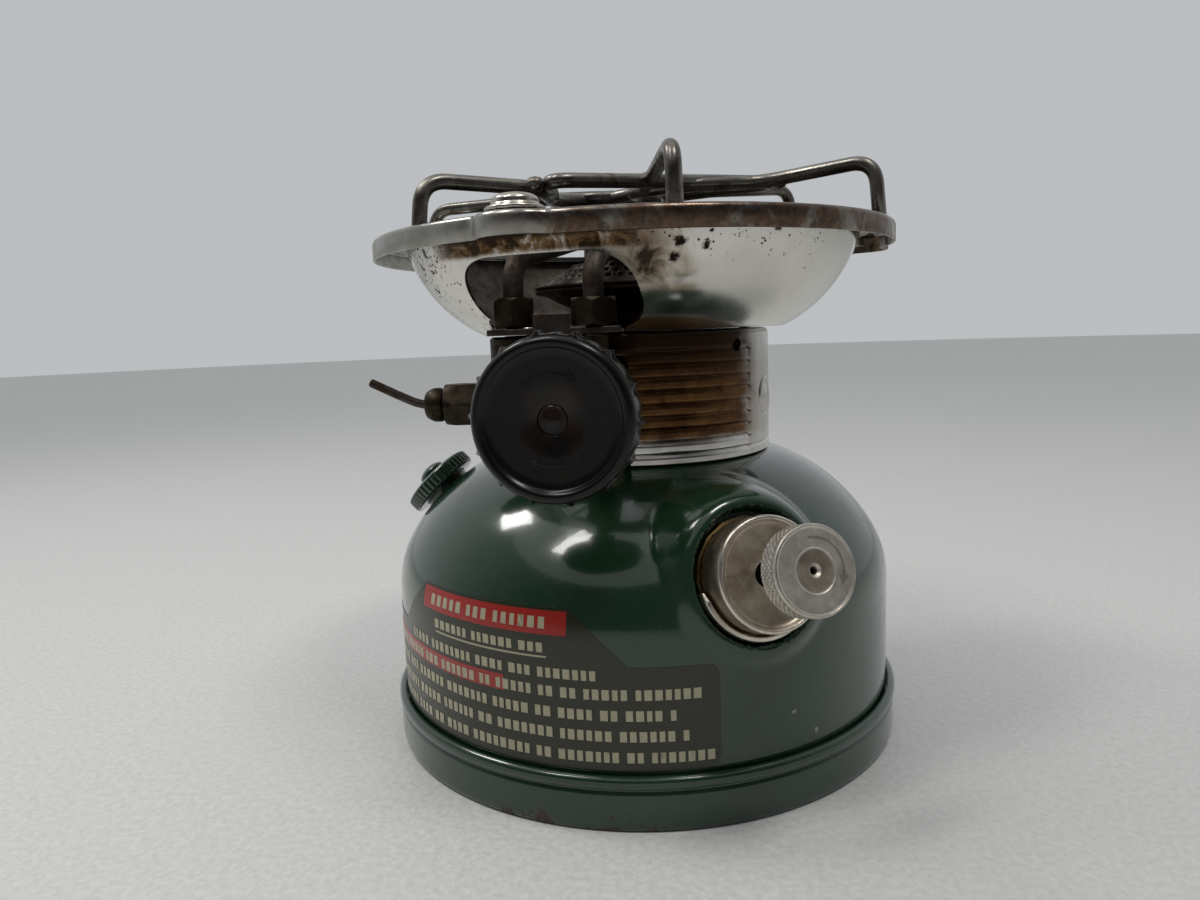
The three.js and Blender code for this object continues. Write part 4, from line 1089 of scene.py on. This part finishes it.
def lever():
    """The bent lighting lever and the two nuts that it comes out of."""
    nut = hexagon_nut(10.2, 6.6, 18.4, 2.4, 2.6, 0.6)
    piece("lever_packing_nut_hex", nut, "brass_sooty", ["lever_packing_nut"], LEVER)
    gland = soft_profile((1.5, 18.9, 0), (3.9, 18.9, 0.2), (4.35, 19.7, 0.4), (4.3, 21.7, 0.8),
                         (3.3, 23.5, 0.7), (1.5, 23.9, 0.2))
    piece("lever_gland_nut_dome", lathe(gland, 48), "brass_sooty", ["lever_gland_nut"], LEVER)
    path = rounded([(0, 0, 17.8), (0, 0, 24.8), (2.6, 0.0, 30.4), (6.1, 0, 37.4)], [0, 3.4, 2.5, 0], 10)
    piece("lighting_lever_wire", tube(path, 1.1, 18), "steel_sooty", ["lighting_lever"], LEVER,
          "lighting_lever")


def pipe_fittings():
    """The nuts at both ends of the vapour pipe and the bracket that holds them together."""
    start = TOWER_TOP + 2.1
    for name, across, tall, at in (("inlet", 11, 6.8, VALVE), ("jet", 9.2, 7.4, TOWER)):
        shape = shifted(hexagon_nut(across, start, start + tall, PIPE_RADIUS + 0.25, 1.0, 0.5), at.x, at.y)
        piece(f"vapour_pipe_{name}_nut_hex", shape, "brass_sooty", [f"vapour_pipe_{name}_nut"],
              slot="steel_sooty")
    low = TOWER_TOP + 0.3
    plate = bar((-35.5, -3), (-38, -25), (low, low + 1.5))
    tab = bar((-24, -15), (-38, -36.8), (low + 0.5, low + 5))
    bores = [shifted(rod(3.2, low - 1, low + 3), at.x, at.y) for at in (VALVE, TOWER)]
    bracket = piece("vapour_pipe_bracket_plate", plate, "steel_sooty", ["vapour_pipe_bracket"],
                    unions=[tab], cuts=bores)
    bevel = bracket.modifiers.new("edges", "BEVEL")
    bevel.width = 0.3 * MM
    bevel.segments = 2
    bevel.limit_method = "ANGLE"


# ---------------------------------------------------------------- burner

def vapour_pipe():
    """Up from the inlet, back over the burner, across, and down to the jet."""
    def at(point, z):
        return Vector((point.x, point.y, z))

    start = TOWER_TOP + 2.4
    corners = [at(VALVE, start), at(VALVE, PIPE_FRONT), at(VALVE, PIPE_BACK) + PIPE_RUN,
               at(TOWER, PIPE_BACK) + PIPE_RUN, at(TOWER, PIPE_FRONT), at(TOWER, start)]
    piece("vapour_pipe_loop", tube(rounded(corners, 7, 12), PIPE_RADIUS, 24), "steel_sooty", ["vapour_pipe"])


def burner():
    """The lower pan, the upper cone with its three rows of ports, the cap and its screw."""
    def ports(r, turn, z):
        if z < 122.8 or r < 16.4:
            return r, z
        deepest = 0.0
        for row, height in enumerate((124.0, 125.5, 126.9)):
            share = (turn * PORTS / (2 * math.pi) + 0.5 * (row % 2)) % 1 - 0.5
            across = share * 2 * math.pi * r / PORTS
            deepest = max(deepest, math.exp(-((across / 0.62) ** 4 + ((z - height) / 0.46) ** 4)))
        return r - 1.1 * deepest, z - 0.5 * deepest

    lower = soft_profile((6.4, 110.4, 0), (9.8, 110.4, 0.5), (7.5, 111.6, 0.5), (7.5, 114.9, 0.8),
                         (18, 116, 3), (24.4, 119.6, 1.2), (27.2, 120.1, 0.3), (27.4, 120.9, 0.2),
                         (24, 120.6, 1), (17.6, 116.9, 2), (6.4, 115.9, 0))
    piece("burner_lower_pan", lathe(lower, 96), "steel_sooty", ["burner_lower_half"])
    upper = ([(24.2, 121.3), (27.2, 121.3), (27.4, 121.5), (27.4, 121.9), (27.2, 122.1), (24.6, 122.2)]
             + [(24.2 - 7.7 * k / 26, 122.8 + 5.0 * k / 26) for k in range(27)]
             + [(15.8, 127.85), (11, 127.85), (11, 127.0), (14.6, 127.0), (22.4, 122.2)])
    piece("burner_upper_cone", lathe(upper, 460, ports), "steel_sooty", ["burner_upper_half"])
    cap = soft_profile((2.1, 128.1, 0), (12.8, 128.1, 0.2), (13.0, 128.4, 0.2), (12.6, 128.8, 0.3),
                       (2.1, 128.8, 0.2))
    piece("burner_cap_disc", lathe(cap, 72), "steel_sooty", ["burner_cap"])
    screw = [(0, 119.6), (1.8, 119.6), (1.8, 129.1), (3.3, 129.1), (3.4, 129.5), (2.7, 130.1), (1.2, 130.3),
             (0, 130.35)]
    slot = bar((-5, 5), (-0.45, 0.45), (129.8, 132))
    piece("burner_cap_screw_head", lathe(screw, 40, closed=False), "steel_sooty", ["burner_cap_screw"],
          cuts=[slot])


# ---------------------------------------------------------------- collar, bowl, rim and pot support

def collar():
    """The ribbed tube with its plain panel, vent holes and an opening for the valve."""
    def grooves(r, turn, z):
        if r < 37:
            return r, z
        azimuth = (math.degrees(turn) + 180) % 360 - 180
        on_panel = smooth(azimuth, -38.5, -37.3) * (1 - smooth(azimuth, -5.7, -4.5))
        depth = max(math.exp(-((z - groove) / 0.42) ** 2) for groove in COLLAR_GROOVES)
        panel_edge = math.exp(-((azimuth + 37.9) / 0.5) ** 2) + math.exp(-((azimuth + 5.1) / 0.5) ** 2)
        edge = 0.3 * panel_edge * smooth(z, 77.5, 79) * (1 - smooth(z, 105, 106.5))
        return r - 0.5 * depth * (1 - on_panel if z > 79 else 1) - edge, z

    inner = COLLAR_RADIUS - 1.4
    tall = COLLAR_TOP - COLLAR_BOTTOM - 1.5
    profile = ([(inner, COLLAR_BOTTOM), (COLLAR_RADIUS - 0.3, COLLAR_BOTTOM)]
               + [(COLLAR_RADIUS, COLLAR_BOTTOM + 0.3 + tall * k / 118) for k in range(119)]
               + [(37.3, 108.3), (36.8, 108.8), (36.2, 109), (29, 109), (29, 108), (inner, 108)])
    cuts = [window(-122, 18.5, COLLAR_BOTTOM - 12, 104, 14, 44, 4),
            shifted(rod(5.7, 103, 111), VALVE.x, VALVE.y), shifted(rod(6.9, 103, 111), TOWER.x, TOWER.y)]
    cuts += [placed(rod(1.6, 30, 42, 24), aimed(Vector((0, 0, 104.9)), polar(1, azimuth)))
             for azimuth in (-46, 0, 44, 88, 132)]
    cuts += [shifted(rod(1.9, 106, 111, 16), at.x, at.y) for at in SCREWS]
    piece("collar_tube", lathe(profile, 360, grooves), "collar", ["collar"], cuts=cuts)


def medallion():
    """A plain ring on the collar's panel, bent to the collar's curve."""
    def bent(r, turn, z):
        return r, z - 0.37 * (r * math.sin(turn) / 5.3) ** 2

    disc = [(0, 35.9), (5.3, 35.9), (5.3, 37.55), (5.05, 37.75), (4.75, 37.6), (4.55, 37.48), (2.2, 37.62),
            (1.9, 37.8), (0, 37.84)]
    piece("collar_boss", lathe(disc, 48, bent, closed=False), "collar",
          place=aimed(Vector((0, 0, 90.9)), polar(1, -21.4)))


def bowl():
    """The wind bowl with its lighting window; its inside gets a duller material."""
    def angle_at(z, radius):
        return math.degrees(math.asin((z - BOWL_ARC["z"]) / radius))

    top, flange = 133.6, 64.2
    outside = BOWL_ARC["radius"]
    inside = outside - BOWL_WALL
    outer = arc(BOWL_ARC, outside, angle_at(BOWL_FLOOR + 0.01, outside),
                angle_at(top - BOWL_WALL, outside), 44)
    inner = arc(BOWL_ARC, inside, angle_at(top, inside), angle_at(BOWL_FLOOR + BOWL_WALL, inside), 44)
    profile = ([(8, BOWL_FLOOR)] + outer + [(flange, top - BOWL_WALL), (flange, top)] + inner
               + [(8, BOWL_FLOOR + BOWL_WALL)])
    cuts = [window(-112, 21.8, BOWL_FLOOR + 0.9, 127, 20, 70, 11, 12),
            bar((-36.2, -2.3), (-48, -24.4), (BOWL_FLOOR - 2, BOWL_FLOOR + 2.1)),
            shifted(rod(6.4, BOWL_FLOOR - 2, BOWL_FLOOR + 11), TOWER.x, TOWER.y)]
    cuts += [shifted(rod(1.9, BOWL_FLOOR - 1, BOWL_FLOOR + 2, 16), at.x, at.y) for at in SCREWS]
    obj = piece("wind_bowl_skin", lathe(profile, 216), "bowl", ["wind_bowl"], cuts=cuts)
    obj.data.materials.append(LOOKS["steel_dull"])
    middle = (FOUNT_AXIS + Vector((0, 0, BOWL_ARC["z"]))) * MM
    for face in obj.data.polygons:
        toward = face.center - middle
        ring = Vector((toward.x, toward.y, 0)).normalized() * BOWL_ARC["r"] * MM
        inward = ring - toward
        if face.normal.dot(inward) > 0.5 * inward.length:
            face.material_index = 1


def lobed_radius(azimuth, inset):
    """The radius of a circle with three round lobes, blended softly where they meet."""
    lobe_circle, lobe_radius, soft = 65, 9.5 - inset, 1.6
    radius = RIM_RADIUS - inset
    for lobe in LOBE_AZIMUTHS:
        off = math.radians((azimuth - lobe + 180) % 360 - 180)
        reach = lobe_circle * math.sin(off)
        if abs(reach) < lobe_radius and abs(off) < 1:
            out = lobe_circle * math.cos(off) + math.sqrt(lobe_radius ** 2 - reach ** 2)
            blend = math.log(math.exp(radius / soft) + math.exp(out / soft)) * soft
            radius = max(radius, min(blend, out + 0.35))
    return radius


def rim_outline(inset):
    """The rim's radii at RIM_STEPS even azimuths, smoothed a little along the edge."""
    radii = np.array([lobed_radius(k * 360 / RIM_STEPS, inset) for k in range(RIM_STEPS)])
    kernel = np.array([1, 3, 6, 8, 6, 3, 1], float)
    kernel /= kernel.sum()
    return np.convolve(np.concatenate([radii[-3:], radii, radii[:3]]), kernel, "valid")


def rim():
    """The flanged ring: a rolled outer edge, slightly dented at one place, and holes for nuts and legs."""
    top, low = RIM_TOP, RIM_TOP - RIM_DEPTH
    section = [(0.15, low), (0.0, low + 0.15), (0.0, top - 1.6), (0.06, top - 1.05), (0.3, top - 0.5),
               (0.75, top - 0.14), (1.3, top), (None, top), (None, top - 0.8), (1.5, top - 0.8),
               (1.05, top - 0.95), (0.85, top - 1.35), (0.8, low + 0.15), (0.65, low)]
    verts = []
    for inset, z in section:
        on_hole = inset is None
        outline = [RIM_INNER] * RIM_STEPS if on_hole else rim_outline(inset)
        for k, radius in enumerate(outline):
            azimuth = k * 360 / RIM_STEPS
            dent = 0.0
            if z < top - 1.2 and not on_hole:
                off = abs((azimuth + 6 + 180) % 360 - 180)
                dent = 0.5 * math.exp(-(off / 2.2) ** 2) * (0.5 + 0.5 * math.sin(azimuth * 4.2))
            verts.append(polar(float(radius) - dent, azimuth, z))
    faces = []
    for i in range(len(section)):
        here, after = i * RIM_STEPS, (i + 1) % len(section) * RIM_STEPS
        for k in range(RIM_STEPS):
            j = (k + 1) % RIM_STEPS
            faces.append((here + k, here + j, after + j, after + k))
    holes = [(1.8, 20, azimuth) for azimuth in LOBE_AZIMUTHS]
    holes += [(WIRE_RADIUS + 0.45, 24, leg + turn) for turn in THIRDS for leg in LEG_TURNS]
    cuts = []
    for radius, sides, azimuth in holes:
        at = polar(LEG_CIRCLE, azimuth)
        cuts.append(shifted(rod(radius, top - 3, top + 1, sides), at.x, at.y))
    piece("rim_ring_band", (verts, faces), "rim", ["rim_ring"], cuts=cuts, angle=50)


def raised(point):
    """The support stands a little higher at the back and the right than at the front and the left."""
    if point.z > RIM_TOP:
        return point + Vector((0, 0, LEAN_RISE + LEAN_X * point.x + LEAN_Y * point.y))
    return point


def support_wire(around):
    """One bent wire: up a leg, in over the burner, across, and out to the next leg."""
    first, last = LEG_TURNS
    height = SUPPORT_HEIGHT
    corners = [polar(LEG_CIRCLE, first, 131.6), polar(LEG_CIRCLE - 1.6, first, height),
               Vector((6, -26, height - 1)), Vector((3.5, -6, height - 2.6)), Vector((-9, 5, height - 2.9)),
               Vector((-21, -4, height - 2.9)), Vector((-22, -28, height - 2.4)),
               polar(LEG_CIRCLE - 1.6, last, height - 0.6), polar(LEG_CIRCLE, last, 131.6)]
    return tube(rounded([raised(around @ corner) for corner in corners], 6.2, 12), WIRE_RADIUS, 20)


def support_triangle():
    """The closed triangle under the wires, its ends meeting in the middle of one side."""
    points = [raised(polar(42, azimuth, 145.3)) for azimuth in (-117, 3, 123)]
    loop = rounded(points, 7.2, 12, True)
    middle = points[0].lerp(points[1], 0.5)
    first = next(i for i in range(len(loop)) if (loop[i] - points[1]).length < 7.3)
    return tube([middle] + loop[first:] + loop[:first] + [middle], WIRE_RADIUS, 20)


def pot_support():
    """Three wires alike, the triangle, and a bead of weld wherever they touch."""
    blob = [(0, -1.9), (1.5, -1.5), (2.3, -0.4), (2.35, 0.4), (1.6, 1.4), (0, 1.9)]
    turned = [Matrix.Rotation(math.radians(turn), 4, "Z") for turn in THIRDS]
    wires = [support_wire(around) for around in turned]
    beads = [shifted(lathe(blob, 20, closed=False), *raised(around @ Vector(weld)))
             for around in turned for weld in ((4.6, -22.0, 145.7), (-22.4, -34.5, 145.0))]
    piece("pot_support_wires", joined(*wires, support_triangle(), *beads), "steel_blued", ["pot_support"],
          angle=60)


def fasteners():
    """The rim's dome nuts and the slotted screws in the bowl's floor."""
    z = RIM_TOP + 0.3
    dome = rounded([(0, 131), (1.5, 131), (1.5, z), (6.4, z), (6.5, z + 0.7), (5.4, z + 1.2), (5.1, z + 1.5),
                    (5.0, z + 2.6), (3.6, z + 3.5), (0, z + 3.9)], [0, 0, 0, 0.2, 0.4, 0.4, 0.2, 0.7, 1.4, 0])
    for k, azimuth in enumerate(LOBE_AZIMUTHS):
        at = polar(LEG_CIRCLE, azimuth)
        nut = shifted(lathe(dome, 56, closed=False), at.x, at.y)
        piece(f"rim_nut_{k + 1}_dome", nut, "nickel_bright", [f"rim_nut_{k + 1}"])
    seat = BOWL_FLOOR + BOWL_WALL + 0.3
    head = rounded([(0, 104.5), (1.6, 104.5), (1.6, seat), (3.3, seat), (3.4, seat + 0.6), (2.4, seat + 1.7),
                    (0, seat + 2)], [0, 0, 0, 0.1, 0.4, 0.9, 0], 4)
    for k, at in enumerate(SCREWS):
        screw = shifted(lathe(head, 40, closed=False), at.x, at.y)
        slot = shifted(bar((-5, 5), (-0.4, 0.4), (seat + 1.2, seat + 4)), at.x, at.y)
        piece(f"bowl_screw_{k + 1}_head", screw, "nickel_bright", [f"bowl_screw_{k + 1}"], cuts=[slot])


# ---------------------------------------------------------------- the whole

def cad_nodes():
    """The pieces that keep their CAD shape get their slot's material."""
    slot_of = {row["node"]: row["material_slot"] for row in frame["record"]["subparts"]}
    for name, obj in frame["nodes"].items():
        obj.data.materials.clear()
        obj.data.materials.append(LOOKS[slot_of[name]])


def linked(name, data):
    """A new object in the scene for a mesh, a lamp or a camera."""
    obj = bpy.data.objects.new(name, data)
    bpy.context.scene.collection.objects.link(obj)
    return obj


def floor():
    mesh = bpy.data.meshes.new("floor")
    bm = bmesh.new()
    bmesh.ops.create_circle(bm, cap_ends=True, segments=64, radius=4.0)
    bm.to_mesh(mesh)
    bm.free()
    mesh.materials.append(floor_look())
    sheet = linked("floor", mesh)
    sheet.location.z = -0.0001


def room_light():
    """A grey room, dark in front of the stove and bright behind it."""
    world = bpy.data.worlds.new("studio")
    world.use_nodes = True
    bpy.context.scene.world = world
    nodes, link = world.node_tree.nodes, world.node_tree.links.new
    split = nodes.new("ShaderNodeSeparateXYZ")
    link(nodes.new("ShaderNodeTexCoord").outputs["Generated"], split.inputs[0])
    back = nodes.new("ShaderNodeMapRange")
    link(split.outputs["Y"], back.inputs["Value"])
    back.inputs["From Min"].default_value = -0.55
    back.inputs["From Max"].default_value = 0.35
    tint = nodes.new("ShaderNodeMix")
    tint.data_type = "RGBA"
    link(back.outputs["Result"], tint.inputs[0])
    tint.inputs[6].default_value = (0.055, 0.055, 0.06, 1)
    tint.inputs[7].default_value = (0.50, 0.515, 0.53, 1)
    link(tint.outputs[2], nodes["Background"].inputs["Color"])
    nodes["Background"].inputs["Strength"].default_value = 1.0


def lamp(name, place, size, power):
    """A soft window of light, aimed at the middle of the stove."""
    light = bpy.data.lights.new(name, "AREA")
    light.shape = "RECTANGLE"
    light.size = size[0]
    light.size_y = size[1]
    light.energy = power
    light.color = (1.0, 0.985, 0.96)
    obj = linked(name, light)
    obj.location = place
    obj.rotation_mode = "QUATERNION"
    obj.rotation_quaternion = (Vector((0, 0, 0.08)) - Vector(place)).to_track_quat("-Z", "Y")


def overhead():
    sky = bpy.data.lights.new("overhead", "SUN")
    sky.energy = 0.55
    sky.angle = math.radians(75)
    linked("overhead", sky).rotation_euler = (math.radians(8), math.radians(-6), 0)


def camera():
    """The photo's view, at a place in metres and with turns about X, Y and Z in degrees."""
    lens = bpy.data.cameras.new("camera")
    lens.lens = 25.5
    lens.sensor_width = 36.0
    lens.clip_start = 0.01
    view = linked("camera", lens)
    view.location = (-0.0014, -0.2371, 0.1104)
    view.rotation_euler = [math.radians(turn) for turn in (81.8157, 2.0920, 2.2189)]
    bpy.context.scene.camera = view
    bpy.context.scene.view_settings.view_transform = "Standard"


cad_nodes()
fount_shell()
fount_base()
label_ground()
label_rows()
filler()
pump_clip()
pump_cap()
pump_knob()
valve_wheel()
valve_body()
valve_spindle()
lever()
pipe_fittings()
vapour_pipe()
burner()
collar()
medallion()
bowl()
rim()
pot_support()
fasteners()
floor()
room_light()
overhead()
lamp("left", (-0.50, 0.16, 0.68), (0.16, 0.16), 1.1)
lamp("middle", (-0.306, -0.205, 0.79), (0.10, 0.30), 1.2)
lamp("right", (0.214, -0.23, 0.815), (0.20, 0.14), 1.3)
camera()
